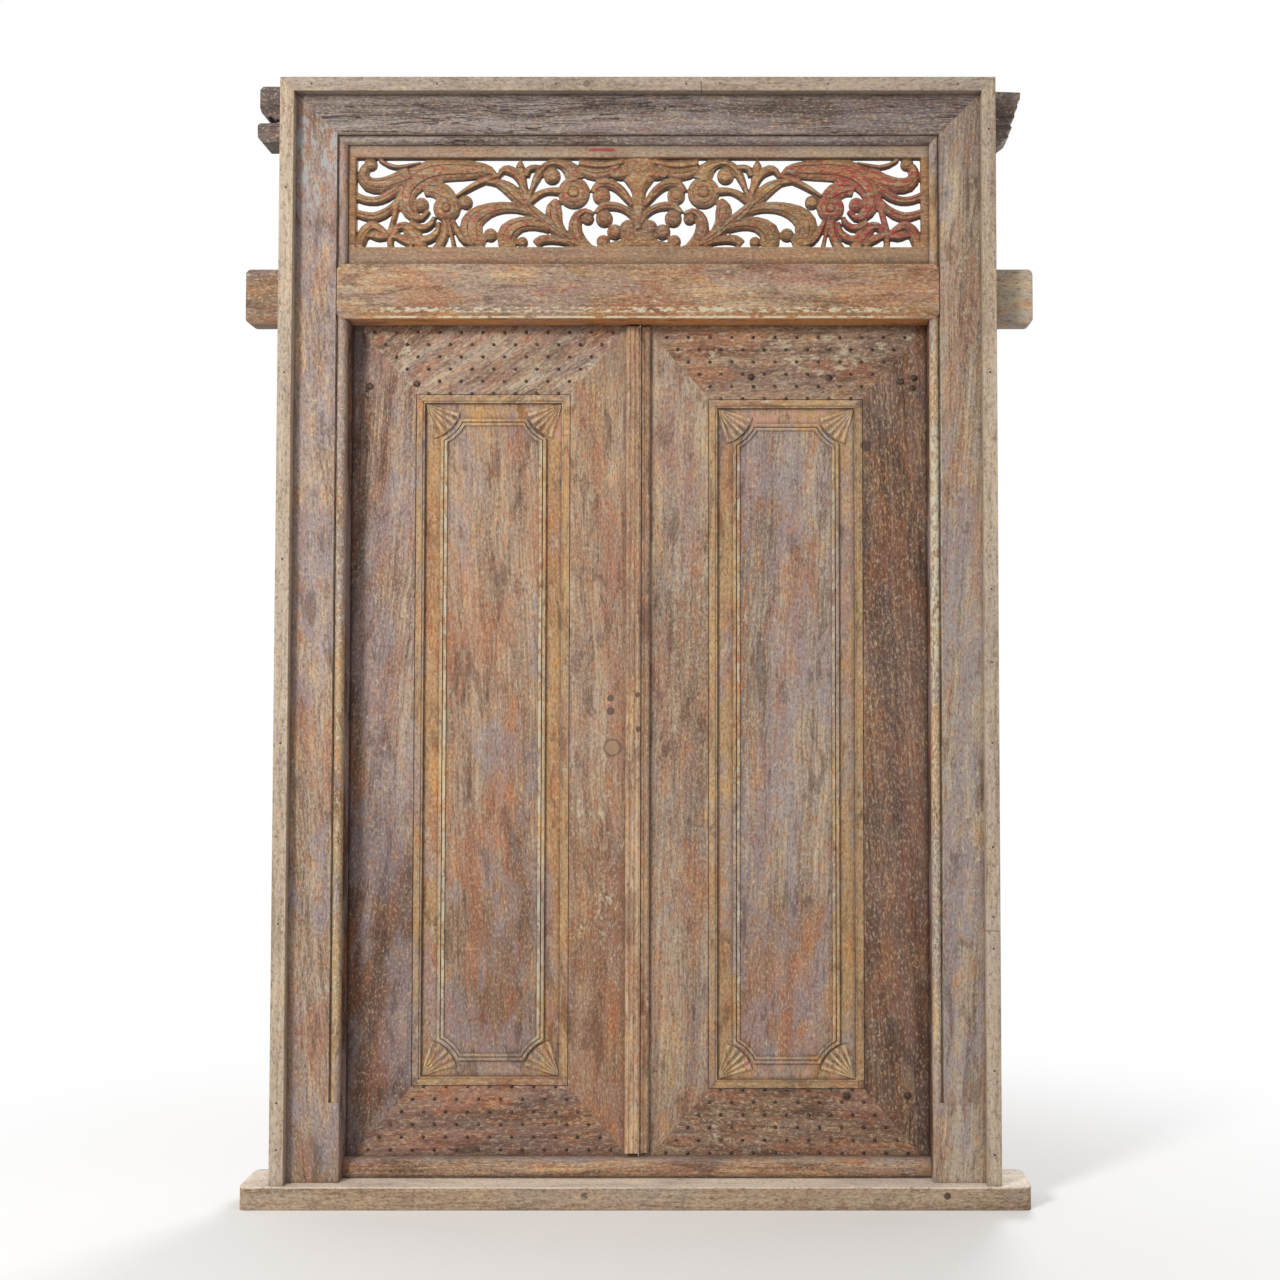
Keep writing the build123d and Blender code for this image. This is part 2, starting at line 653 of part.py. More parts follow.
def make_panel(side, low, high):
    """A raised panel: a tongued board, a beaded border with scooped corners, and four fans"""
    width = opening_outer - opening_inner
    height = high - low
    middle_x = side * (opening_inner + opening_outer) / 2
    middle_z = (low + high) / 2
    plane = Plane(origin=(middle_x, 0, middle_z), x_dir=(1, 0, 0), z_dir=(0, -1, 0))

    def raised(inset, front):
        outline = scooped(width - 2 * inset, height - 2 * inset,
                          scoop_radius + inset - border_inset, width / 2, height / 2)
        face = plane.offset(-panel_margin_front) * outline
        return extrude(face, amount=panel_margin_front - front, mode=Mode.PRIVATE)

    with BuildPart() as panel:
        block((middle_x - width / 2, middle_x + width / 2), (panel_margin_front, panel_back),
              (low, high))
        lip = tongue_depth - tongue_play
        block((middle_x - width / 2 - lip, middle_x + width / 2 + lip), tongue_y,
              (low - lip, high + lip))
        add(raised(border_inset, border_front))
        add(raised(border_inset + border_width / 2 - 1, border_front - 2), mode=Mode.SUBTRACT)
        add(raised(border_inset + border_width / 2 + 1, border_front))
        add(raised(border_inset + border_width, border_front - 2), mode=Mode.SUBTRACT)
        add(raised(border_inset + border_width, field_front))
        for turn_x in (-1, 1):
            for turn_z in (-1, 1):
                fan = corner_fan
                if turn_x > 0:
                    fan = mirror(fan, about=Plane.YZ, mode=Mode.PRIVATE)
                if turn_z > 0:
                    fan = mirror(fan, about=Plane.XY, mode=Mode.PRIVATE)
                corner = (middle_x + turn_x * width / 2, middle_z + turn_z * height / 2)
                add(Pos(corner[0], panel_margin_front, corner[1]) * fan)
    return panel.part


# Large nails of each leaf as (distance from the centre line, height above the sill's foot)
large_places = {
    "left": [(525, 1892), (635, 1886)],
    "right": [(614, 1897), (646, 1906), (643, 1882), (262, 1908), (446, 1906), (483, 231),
              (624, 233)],
}


def make_leaf(name, side):
    """One leaf: two stiles, two rails, a panel and the nails"""
    low, high = openings[name]
    top_rail = rail_outline(side, high, mitre_rise, leaf_top)
    bottom_rail = rail_outline(side, low, -mitre_rise, leaf_bottom)
    big = [(side * x, z) for x, z in large_places[name]]
    top_places = row_places(side, high, 1, big)
    bottom_places = row_places(side, low, -1, big)

    def fit_between():
        panel_groove(side, low, high)
        sight_moulding(side, low, high)
        nails(large_nail, big, leaf_front, Mode.SUBTRACT)

    with BuildPart() as hanging_stile:
        with BuildSketch(Plane.XY.offset(leaf_bottom)) as plan:
            with BuildLine():
                inner = side * opening_outer
                front_line = Line((inner, leaf_y[0]), (side * axis_x, leaf_y[0]))
                heel = ThreePointArc(front_line @ 1, (side * (axis_x + heel_radius), axis_y),
                                     (side * axis_x, leaf_y[1]))
                Polyline(heel @ 1, (inner, leaf_y[1]), (inner, leaf_y[0]))
            make_face()
        extrude(plan.sketch, amount=leaf_top - leaf_bottom)
        slab(top_rail, leaf_y, Mode.SUBTRACT)
        slab(bottom_rail, leaf_y, Mode.SUBTRACT)
        rail_tenon(side, high, 1, Mode.SUBTRACT)
        rail_tenon(side, low, -1, Mode.SUBTRACT)
        fit_between()
        upright = (Align.CENTER, Align.CENTER, Align.MIN)
        with Locations((side * axis_x, axis_y, leaf_top)):
            Cylinder(pivot_radius, pivot_top, align=upright)
        foot = sill_height - socket_depth + pivot_foot_seat
        with Locations((side * axis_x, axis_y, foot)):
            Cylinder(pivot_radius, leaf_bottom - foot, align=upright)

    with BuildPart() as meeting_stile:
        block((side * leaf_edge, side * opening_inner), leaf_y, (leaf_bottom, leaf_top))
        slab(top_rail, leaf_y, Mode.SUBTRACT)
        slab(bottom_rail, leaf_y, Mode.SUBTRACT)
        rail_tenon(side, high, 1, Mode.SUBTRACT)
        rail_tenon(side, low, -1, Mode.SUBTRACT)
        fit_between()

    with BuildPart() as upper:
        slab(top_rail, leaf_y)
        rail_tenon(side, high, 1)
        fit_between()
        nails(small_nail, top_places, leaf_front, Mode.SUBTRACT)

    with BuildPart() as lower:
        slab(bottom_rail, leaf_y)
        rail_tenon(side, low, -1)
        fit_between()
        nails(small_nail, bottom_places, leaf_front, Mode.SUBTRACT)

    with BuildPart() as top_nails:
        nails(small_nail, top_places, leaf_front)
    with BuildPart() as bottom_nails:
        nails(small_nail, bottom_places, leaf_front)
    with BuildPart() as large_nails:
        nails(large_nail, big, leaf_front)

    save(hanging_stile.part, f"{name}_hanging_stile")
    save(meeting_stile.part, f"{name}_meeting_stile")
    save(upper.part, f"{name}_top_rail")
    save(lower.part, f"{name}_bottom_rail")
    save(make_panel(side, low, high), f"{name}_panel")
    save(top_nails.part, f"{name}_top_rail_nails")
    save(bottom_nails.part, f"{name}_bottom_rail_nails")
    save(large_nails.part, f"{name}_large_nails")


make_leaf("left", -1)
make_leaf("right", 1)

# Cover strip: two flat steps with reeds, its overhang just clear of the right leaf
with BuildPart() as cover_strip:
    with BuildSketch(Plane.XY.offset(cover_bottom)) as section:
        with BuildLine():
            wide_y = leaf_front - cover_wide_depth
            narrow_y = leaf_front - cover_narrow_depth
            Polyline((cover_left, leaf_front), (cover_left, wide_y), (cover_step, wide_y),
                     (cover_step, narrow_y), (cover_right, narrow_y),
                     (cover_right, leaf_front - cover_play),
                     (-leaf_edge, leaf_front - cover_play), (-leaf_edge, leaf_front), close=True)
        make_face()
        reed_step = 2 * reed_radius + 1
        wide_reeds = [(cover_left + reed_radius + 1 + n * reed_step, wide_y + reed_sink)
                      for n in range(3)]
        narrow_reeds = [(cover_right - reed_radius - n * reed_step, narrow_y + reed_sink)
                        for n in range(2)]
        with Locations(*wide_reeds, *narrow_reeds):
            Circle(reed_radius)
    extrude(section.sketch, amount=cover_top - cover_bottom)
save(cover_strip.part, "cover_strip")
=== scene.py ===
import bmesh
import bpy
import math
import random
from mathutils import Matrix, Vector


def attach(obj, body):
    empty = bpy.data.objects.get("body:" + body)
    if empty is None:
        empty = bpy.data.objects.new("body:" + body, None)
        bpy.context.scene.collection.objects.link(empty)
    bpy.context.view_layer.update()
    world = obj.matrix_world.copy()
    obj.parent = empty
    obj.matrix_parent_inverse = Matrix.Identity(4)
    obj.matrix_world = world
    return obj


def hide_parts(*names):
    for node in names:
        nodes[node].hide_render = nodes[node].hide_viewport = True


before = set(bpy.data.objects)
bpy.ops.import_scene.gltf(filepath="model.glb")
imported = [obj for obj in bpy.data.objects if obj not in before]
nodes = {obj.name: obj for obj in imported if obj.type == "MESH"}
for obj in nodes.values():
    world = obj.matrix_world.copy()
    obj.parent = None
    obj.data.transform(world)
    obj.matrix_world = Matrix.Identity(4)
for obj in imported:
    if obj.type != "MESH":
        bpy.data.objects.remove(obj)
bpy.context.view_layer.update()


# Camera and lamps

# Lens in mm, sideways shift, place and upward tilt, which match the photograph
LENS = 48.49
SHIFT = -0.076
EYE = (0.23, -4.0, 1.127)
TILT = 0.04


def bring(name, data):
    """A new object that stands in the scene."""
    made = bpy.data.objects.new(name, data)
    bpy.context.scene.collection.objects.link(made)
    return made


def stand_camera():
    data = bpy.data.cameras.new("photo_camera")
    data.sensor_width = 36.0
    data.lens = LENS
    data.shift_x = SHIFT
    data.clip_end = 60.0
    camera = bring("photo_camera", data)
    camera.location = EYE
    camera.rotation_euler = (math.pi / 2 + TILT, 0.0, 0.0)
    bpy.context.scene.camera = camera


def hang_lamp(name, place, aim, width, watts, colour=(1.0, 1.0, 1.0)):
    data = bpy.data.lights.new(name, "AREA")
    data.shape = "DISK"
    data.size = width
    data.energy = watts
    data.color = colour
    lamp = bring(name, data)
    lamp.location = place
    lamp.rotation_euler = (Vector(aim) - Vector(place)).to_track_quat("-Z", "Y").to_euler()


def white_seen(tree, lit_strength):
    """1 where the camera, a mirror or glass looks, the given strength where light is gathered."""
    path = tree.nodes.new("ShaderNodeLightPath")
    seen = maths(tree, "MAXIMUM", path.outputs["Is Camera Ray"], path.outputs["Is Glossy Ray"])
    seen = maths(tree, "MAXIMUM", seen, path.outputs["Is Transmission Ray"])
    return blend_value(tree, seen, lit_strength, 1.0)


# Small node helpers


def put(tree, socket, value):
    """Links an output to an input, or sets a plain number, vector or colour on it."""
    if isinstance(value, bpy.types.NodeSocket):
        tree.links.new(value, socket)
    elif hasattr(socket, "default_value"):
        socket.default_value = value


def maths(tree, operation, first, second=0.0, third=0.0, clamp=False):
    made = tree.nodes.new("ShaderNodeMath")
    made.operation = operation
    made.use_clamp = clamp
    for socket, value in zip(made.inputs, (first, second, third)):
        put(tree, socket, value)
    return made.outputs[0]


def vector_maths(tree, operation, first, second=(0.0, 0.0, 0.0)):
    made = tree.nodes.new("ShaderNodeVectorMath")
    made.operation = operation
    put(tree, made.inputs[0], first)
    put(tree, made.inputs[1], second)
    return made.outputs["Value" if operation in ("DOT_PRODUCT", "LENGTH") else "Vector"]


def drawn_out(tree, place, share):
    """A place with little change along Z, so that what is read from it runs long that way."""
    return vector_maths(tree, "MULTIPLY", place, (1.0, 1.0, share))


def shifted(tree, place, by):
    return vector_maths(tree, "ADD", place, by)


def spread(tree, value, low, high, start=0.0, end=1.0):
    """A soft step from start to end while value goes from low to high."""
    made = tree.nodes.new("ShaderNodeMapRange")
    made.interpolation_type = "SMOOTHSTEP"
    for name, number in (("Value", value), ("From Min", low), ("From Max", high),
                         ("To Min", start), ("To Max", end)):
        put(tree, made.inputs[name], number)
    return made.outputs["Result"]


def blend_colour(tree, factor, first, second, mode="MIX"):
    made = tree.nodes.new("ShaderNodeMix")
    made.data_type = "RGBA"
    made.blend_type = mode
    put(tree, made.inputs[0], factor)
    put(tree, made.inputs[6], first)
    put(tree, made.inputs[7], second)
    return made.outputs[2]


def lay(tree, mask, strength, below, above, mode="MIX"):
    """One colour over another, as far as a mask times a strength says."""
    return blend_colour(tree, maths(tree, "MULTIPLY", mask, strength), below, above, mode)


def blend_value(tree, factor, first, second):
    made = tree.nodes.new("ShaderNodeMix")
    made.data_type = "FLOAT"
    put(tree, made.inputs[0], factor)
    put(tree, made.inputs[2], first)
    put(tree, made.inputs[3], second)
    return made.outputs[0]


def noise(tree, place, scale, detail=3.0, rough=0.55, distortion=0.0):
    made = tree.nodes.new("ShaderNodeTexNoise")
    put(tree, made.inputs["Vector"], place)
    put(tree, made.inputs["Scale"], scale)
    put(tree, made.inputs["Detail"], detail)
    put(tree, made.inputs["Roughness"], rough)
    put(tree, made.inputs["Distortion"], distortion)
    return made.outputs["Fac"]


def split(tree, vector):
    made = tree.nodes.new("ShaderNodeSeparateXYZ")
    put(tree, made.inputs[0], vector)
    return made.outputs


def largest(tree, vector):
    x, y, z = split(tree, vector)
    return maths(tree, "MAXIMUM", maths(tree, "MAXIMUM", x, y), z)


def off_centre(tree, given):
    """How far a group's Where lies from its Centre, along each axis."""
    off = vector_maths(tree, "SUBTRACT", given["Where"], given["Centre"])
    return vector_maths(tree, "ABSOLUTE", off)


def shade(red, green, blue):
    """A colour as read off a picture, 0 to 255, made linear."""
    linear = [((c / 255 + 0.055) / 1.055) ** 2.4 if c > 10 else c / 255 / 12.92
              for c in (red, green, blue)]
    return (*linear, 1.0)


KINDS = {"value": "NodeSocketFloat", "colour": "NodeSocketColor", "vector": "NodeSocketVector"}


def open_group(name, inputs, outputs):
    """An empty shader group with its sockets, its input node and its output node."""
    tree = bpy.data.node_groups.new(name, "ShaderNodeTree")
    for label, kind in inputs:
        tree.interface.new_socket(name=label, in_out="INPUT", socket_type=KINDS[kind])
    for label, kind in outputs:
        tree.interface.new_socket(name=label, in_out="OUTPUT", socket_type=KINDS[kind])
    return tree, tree.nodes.new("NodeGroupInput").outputs, tree.nodes.new("NodeGroupOutput").inputs


def use_group(tree, group, **values):
    """A group in a material; a label's spaces are written as underscores."""
    made = tree.nodes.new("ShaderNodeGroup")
    made.node_tree = group
    for label, value in values.items():
        put(tree, made.inputs[label.replace("_", " ")], value)
    return made.outputs


# Shared finishes


def make_grain():
    """Old teak: wandering growth lines, fine streaks, pores and long drying cracks, along Z."""
    tree, given, result = open_group(
        "teak_grain",
        [("Place", "vector"), ("Pale", "colour"), ("Mid", "colour"), ("Dark", "colour"),
         ("Figure", "value"), ("Cracking", "value")],
        [("Color", "colour"), ("Height", "value")],
    )
    place = given["Place"]
    sway = noise(tree, place, 2.6, 2.0)
    sway = maths(tree, "MULTIPLY_ADD", sway, 0.05, -0.025)
    push = tree.nodes.new("ShaderNodeCombineXYZ")
    put(tree, push.inputs[0], sway)
    put(tree, push.inputs[1], sway)
    bent = vector_maths(tree, "ADD", place, push.outputs[0])
    broad = noise(tree, drawn_out(tree, bent, 0.05), 26.0, 3.0, 0.6)
    growth = noise(tree, drawn_out(tree, bent, 0.028), 120.0, 3.0, 0.6)
    streak = noise(tree, drawn_out(tree, bent, 0.02), 420.0, 2.0, 0.6)
    pores = noise(tree, drawn_out(tree, bent, 0.06), 1100.0, 1.0, 0.5)
    rings = tree.nodes.new("ShaderNodeTexWave")
    rings.wave_type = "RINGS"
    rings.rings_direction = "Z"
    rings.wave_profile = "SIN"
    put(tree, rings.inputs["Vector"], drawn_out(tree, bent, 0.07))
    put(tree, rings.inputs["Scale"], 28.0)
    put(tree, rings.inputs["Distortion"], 5.0)
    put(tree, rings.inputs["Detail"], 3.0)
    put(tree, rings.inputs["Detail Scale"], 1.4)
    figure = maths(tree, "MULTIPLY_ADD", rings.outputs["Fac"], 0.24, 0.38)
    tone = blend_value(tree, given["Figure"], growth, figure)
    grit = noise(tree, drawn_out(tree, place, 0.45), 340.0, 3.0, 0.7)
    tone = maths(tree, "MULTIPLY", tone, 0.6)
    for layer, weight in ((broad, 0.7), (streak, 0.45), (pores, 0.2), (grit, 0.5)):
        tone = maths(tree, "MULTIPLY_ADD", layer, weight, tone)
    tone = maths(tree, "MULTIPLY", tone, 1.0 / 2.45)  # the weights together make 2.45
    colour = blend_colour(tree, spread(tree, tone, 0.44, 0.50), given["Dark"], given["Mid"])
    colour = blend_colour(tree, spread(tree, tone, 0.50, 0.56), colour, given["Pale"])
    split_lines = noise(tree, drawn_out(tree, bent, 0.03), 58.0, 3.0, 0.6)
    crack = maths(tree, "ABSOLUTE", maths(tree, "SUBTRACT", split_lines, 0.5))
    crack = spread(tree, crack, 0.0, 0.014, 1.0, 0.0)
    where = noise(tree, drawn_out(tree, place, 0.3), 9.0, 1.0)
    where = spread(tree, where, 0.48, 0.58)
    crack = maths(tree, "MULTIPLY", crack, where)
    crack = maths(tree, "MULTIPLY", crack, given["Cracking"], clamp=True)
    dark_line = blend_colour(tree, 0.75, given["Dark"], (0.02, 0.012, 0.008, 1.0))
    put(tree, result["Color"], blend_colour(tree, crack, colour, dark_line))
    height = maths(tree, "MULTIPLY_ADD", streak, 0.5, maths(tree, "MULTIPLY", growth, 0.6))
    for layer, weight in ((pores, 0.35), (grit, 0.5), (crack, -2.0)):
        height = maths(tree, "MULTIPLY_ADD", layer, weight, height)
    put(tree, result["Height"], height)
    return tree


def make_edges():
    """Rounded, rubbed arrises: the softened normal and a mask of the edges."""
    tree, given, result = open_group(
        "rubbed_edges", [("Radius", "value")], [("Normal", "vector"), ("Edge", "value")]
    )
    soft = tree.nodes.new("ShaderNodeBevel")
    soft.samples = 2
    put(tree, soft.inputs["Radius"], given["Radius"])
    surface = tree.nodes.new("ShaderNodeNewGeometry")
    turned = vector_maths(tree, "DOT_PRODUCT", soft.outputs[0], surface.outputs["Normal"])
    put(tree, result["Normal"], soft.outputs[0])
    put(tree, result["Edge"], spread(tree, turned, 0.99, 0.86))
    return tree


def make_dirt_and_shade():
    """How deep a place lies in a corner or a cut, 0 in the open and 1 in the corner, broken up in
    patches: a mask for dirt and for painted shade in corners and cuts.
    """
    tree, given, result = open_group(
        "corner_dirt_and_shade", [("Reach", "value"), ("Place", "vector")], [("Mask", "value")]
    )
    corner = tree.nodes.new("ShaderNodeAmbientOcclusion")
    corner.samples = 3
    put(tree, corner.inputs["Distance"], given["Reach"])
    deep = spread(tree, corner.outputs["AO"], 0.95, 0.35)
    patchy = spread(tree, noise(tree, given["Place"], 42.0, 1.0), 0.25, 0.6, 0.55, 1.0)
    put(tree, result["Mask"], maths(tree, "MULTIPLY", deep, patchy))
    return tree


def make_traces():
    """What is left of an old coat of paint inside a box: ragged flecks along the grain."""
    tree, given, result = open_group(
        "paint_traces",
        [("Where", "vector"), ("Place", "vector"), ("Centre", "vector"), ("Half", "vector"),
         ("Amount", "value"), ("Fleck", "value")],
        [("Mask", "value")],
    )
    off = vector_maths(tree, "DIVIDE", off_centre(tree, given), given["Half"])
    inside = spread(tree, largest(tree, off), 1.0, 0.8)
    rag = noise(tree, drawn_out(tree, given["Place"], 0.45), given["Fleck"], 5.0, 0.7)
    edge = maths(tree, "SUBTRACT", 0.72, maths(tree, "MULTIPLY", given["Amount"], 0.42))
    flecks = tree.nodes.new("ShaderNodeMapRange")
    put(tree, flecks.inputs["Value"], rag)
    put(tree, flecks.inputs["From Min"], edge)
    put(tree, flecks.inputs["From Max"], maths(tree, "ADD", edge, 0.05))
    put(tree, result["Mask"], maths(tree, "MULTIPLY", flecks.outputs[0], inside, clamp=True))
    return tree


def make_weather():
    """A hundred years outdoors: rusty and lilac-grey patches, flecks, stains, chalky and green
    remains of paint. It only changes the colour."""
    tree, given, result = open_group(
        "weathered_coat",
        [("Color", "colour"), ("Place", "vector"), ("Grey", "value"), ("Rust", "value"),
         ("Chalk", "value"), ("Green", "value"), ("Stain", "value")],
        [("Color", "colour")],
    )
    place = given["Place"]
    long_place = drawn_out(tree, place, 0.3)
    cloud = noise(tree, long_place, 11.0, 3.0, 0.62)
    warm = noise(tree, shifted(tree, long_place, (3.1, 7.7, 1.9)), 15.0, 3.0, 0.65)
    colour = lay(tree, spread(tree, warm, 0.48, 0.60), given["Rust"], given["Color"],
                 shade(164, 100, 68))
    colour = lay(tree, spread(tree, cloud, 0.46, 0.58), given["Grey"], colour, shade(150, 138, 142))
    flake_place = drawn_out(tree, place, 0.5)
    fine = noise(tree, shifted(tree, flake_place, (2.7, 4.1, 6.3)), 210.0, 3.0, 0.75)
    pale_fleck = spread(tree, fine, 0.53, 0.64, 0.0, 0.5)
    colour = blend_colour(tree, pale_fleck, colour, shade(210, 186, 152))
    dark_fleck = spread(tree, fine, 0.47, 0.36, 0.0, 0.55)
    colour = blend_colour(tree, dark_fleck, colour, shade(92, 62, 46))
    stain = noise(tree, shifted(tree, long_place, (1.4, 5.2, 7.9)), 27.0, 4.0, 0.72, 0.6)
    blotch = noise(tree, shifted(tree, flake_place, (8.7, 1.1, 2.3)), 60.0, 4.0, 0.72)
    for value, low, high, strength, tint in (
            (stain, 0.46, 0.37, 0.7, (0.42, 0.36, 0.34)),
            (stain, 0.54, 0.63, 0.6, (1.42, 1.3, 1.0)),
            (blotch, 0.53, 0.62, 0.6, (1.1, 0.74, 0.55)),
            (blotch, 0.47, 0.38, 0.6, (1.02, 1.07, 1.28))):
        there = spread(tree, value, low, high, 0.0, strength)
        colour = lay(tree, there, given["Stain"], colour, (*tint, 1.0), "MULTIPLY")
    flake = noise(tree, flake_place, 62.0, 5.0, 0.8)
    region = noise(tree, shifted(tree, long_place, (9.2, 1.3, 4.4)), 7.0, 1.0, 0.6)
    level = maths(tree, "MULTIPLY_ADD", region, -0.32, 0.83)
    level = maths(tree, "MULTIPLY_ADD", given["Chalk"], -0.12, level)
    chalk = maths(tree, "MULTIPLY", maths(tree, "SUBTRACT", flake, level), 14.0, clamp=True)
    colour = lay(tree, chalk, 0.65, colour, shade(212, 202, 174))
    moss = noise(tree, shifted(tree, flake_place, (5.5, 2.2, 8.8)), 70.0, 4.0, 0.75)
    moss_level = maths(tree, "MULTIPLY_ADD", given["Green"], -0.14, 0.74)
    moss = maths(tree, "MULTIPLY", maths(tree, "SUBTRACT", moss, moss_level), 18.0, clamp=True)
    put(tree, result["Color"], lay(tree, moss, 0.6, colour, shade(146, 166, 150)))
    return tree


def make_zone():
    """A soft-edged stretch of a piece, as where it was kept dark, dry or filled, or where painted
    shade or painted light is laid.
    """
    tree, given, result = open_group(
        "soft_zone",
        [("Where", "vector"), ("Centre", "vector"), ("Half", "vector"), ("Softness", "value"),
         ("Drift", "value")],
        [("Mask", "value")],
    )
    drift = maths(tree, "MULTIPLY", given["Drift"], given["Softness"])
    off = vector_maths(tree, "SUBTRACT", off_centre(tree, given), given["Half"])
    out_by = maths(tree, "ADD", largest(tree, off), drift)
    inside = maths(tree, "DIVIDE", out_by, given["Softness"])
    put(tree, result["Mask"], spread(tree, inside, 0.5, -0.5))
    return tree


def make_spot():
    """A round mark: a knot, a plugged hole or the ghost of a lock."""
    tree, given, result = open_group(
        "round_spot",
        [("Where", "vector"), ("Centre", "vector"), ("Radius", "value")],
        [("Mask", "value"), ("Ring", "value")],
    )
    off = vector_maths(tree, "SUBTRACT", given["Where"], given["Centre"])
    wobble = noise(tree, given["Where"], 90.0, 3.0)
    far = vector_maths(tree, "LENGTH", vector_maths(tree, "MULTIPLY", off, (1.0, 0.35, 1.0)))
    far = maths(tree, "DIVIDE", far, given["Radius"])
    far = maths(tree, "ADD", far, maths(tree, "MULTIPLY_ADD", wobble, 0.5, -0.25))
    put(tree, result["Mask"], spread(tree, far, 1.15, 0.85))
    ring = maths(tree, "ABSOLUTE", maths(tree, "SUBTRACT", far, 1.0))
    put(tree, result["Ring"], spread(tree, ring, 0.25, 0.0))
    return tree


grain = make_grain()
weather = make_weather()
zone = make_zone()
spot = make_spot()
edges = make_edges()
dirt_and_shade = make_dirt_and_shade()
traces = make_traces()

WHITE = (1.0, 1.0, 1.0, 1.0)
CHALK = shade(212, 206, 180)
TURQUOISE = shade(140, 168, 152)
CRIMSON = shade(168, 40, 52)
ROSE = shade(200, 152, 132)
PALE_BLUE = shade(170, 172, 172)
# Dark brown of the soot rings round marks, also used for painted shade
SOOT_AND_SHADE = shade(70, 50, 38)


def new_finish(name):
    """An empty material, its tree and the place on the piece."""
    material = bpy.data.materials.new(name)
    material.use_nodes = True
    tree = material.node_tree
    tree.nodes.clear()
    return material, tree, tree.nodes.new("ShaderNodeTexCoord").outputs["Object"]


def close_finish(tree, shader):
    out = tree.nodes.new("ShaderNodeOutputMaterial")
    put(tree, out.inputs["Surface"], shader)


def add_surface(tree, colour, rough, height, relief, depth):
    """The shader of a finish and its bump, joined to the output."""
    surface = tree.nodes.new("ShaderNodeBsdfPrincipled")
    put(tree, surface.inputs["Base Color"], colour)
    put(tree, surface.inputs["Roughness"], rough)
    bump = tree.nodes.new("ShaderNodeBump")
    put(tree, bump.inputs["Strength"], relief)
    put(tree, bump.inputs["Distance"], depth)
    put(tree, bump.inputs["Height"], height)
    put(tree, surface.inputs["Normal"], bump.outputs[0])
    close_finish(tree, surface.outputs[0])
    return surface, bump


def teak(name, along, pale, mid, dark, seed=0.0, slope=0.0, figure=0.35, cracking=0.25, grey=0.3,
         rust=0.25, chalk=0.15, green=0.0, dirt_and_shade_depth=0.6, reach=0.02, edge=0.35, radius=0.002,
         rough=0.74, relief=0.45, under=0.0, stain=0.9, zones=(), patches=(), spots=()):
    """One plank's finish. along is the way of the grain, slope turns it. under is the strength of
    painted shade on what faces down and painted light on what faces up, stain is the strength of
    the stains. zones are soft stretches as (colour, strength, centre, half size, softness), patches
    are ragged paint as (colour, centre, half size, amount, fleck) and spots are round marks as
    (colour, centre, radius)."""
    material, tree, where = new_finish(name)
    turn = tree.nodes.new("ShaderNodeMapping")
    turn.inputs["Location"].default_value = (seed * 1.73, seed * 0.91, seed * 2.37)
    quarter = math.pi / 2 if along == "x" else 0.0
    turn.inputs["Rotation"].default_value = (0.0, quarter + math.radians(slope), 0.0)
    put(tree, turn.inputs["Vector"], where)
    place = turn.outputs[0]
    wood = use_group(tree, grain, Place=place, Pale=shade(*pale), Mid=shade(*mid),
                     Dark=shade(*dark), Figure=figure, Cracking=cracking)
    colour = wood["Color"]
    drift = maths(tree, "MULTIPLY_ADD", noise(tree, where, 7.0, 2.0, 0.6), 1.6, -0.8)
    for tint, strength, centre, half, softness in zones:
        inside = use_group(tree, zone, Where=where, Centre=centre, Half=half, Softness=softness,
                           Drift=drift)
        tinted = blend_colour(tree, 1.0, colour, shade(*tint), "MULTIPLY")
        tinted = blend_colour(tree, 0.55, tinted, shade(*tint))
        tinted = blend_colour(tree, 1.0, tinted, (1.35, 1.35, 1.35, 1.0), "MULTIPLY")
        colour = lay(tree, inside["Mask"], strength, colour, tinted)
    colour = use_group(tree, weather, Color=colour, Place=place, Grey=grey, Rust=rust, Chalk=chalk,
                       Green=green, Stain=stain)["Color"]
    for tint, centre, size in spots:
        mark = use_group(tree, spot, Where=where, Centre=centre, Radius=size)
        colour = lay(tree, mark["Mask"], 0.75, colour, shade(*tint))
        colour = lay(tree, mark["Ring"], 0.6, colour, SOOT_AND_SHADE)
    arris = use_group(tree, edges, Radius=radius)
    # Pale colour for rubbed edges, and for the painted light on faces turned up
    lift = blend_colour(tree, 0.5, shade(*pale), shade(225, 208, 182))
    rubbed = spread(tree, noise(tree, where, 30.0, 1.0), 0.35, 0.6)
    worn = maths(tree, "MULTIPLY", arris["Edge"], rubbed)
    colour = lay(tree, worn, edge, colour, lift)
    for tint, centre, half, amount, fleck in patches:
        mask = use_group(tree, traces, Where=where, Place=place, Centre=centre, Half=half,
                         Amount=amount, Fleck=fleck)
        colour = lay(tree, mask["Mask"], 0.8, colour, tint)
    # Painted shade on faces turned down, painted light on faces turned up
    if under:
        facing = split(tree, tree.nodes.new("ShaderNodeNewGeometry").outputs["Normal"])[2]
        colour = blend_colour(tree, spread(tree, facing, 0.0, -0.7, 0.0, under), colour, SOOT_AND_SHADE)
        colour = blend_colour(tree, spread(tree, facing, 0.2, 0.8, 0.0, under * 0.5), colour, lift)
    # Painted shade and dirt in corners and cuts, as deep as each place is closed in
    deep = use_group(tree, dirt_and_shade, Reach=reach, Place=where)["Mask"]
    colour = lay(tree, deep, dirt_and_shade_depth, colour, SOOT_AND_SHADE)
    dull = spread(tree, wood["Height"], 0.4, 1.3, rough + 0.1, rough - 0.08)
    bump = add_surface(tree, colour, dull, wood["Height"], relief, 0.0016)[1]
    put(tree, bump.inputs["Normal"], arris["Normal"])
    return material


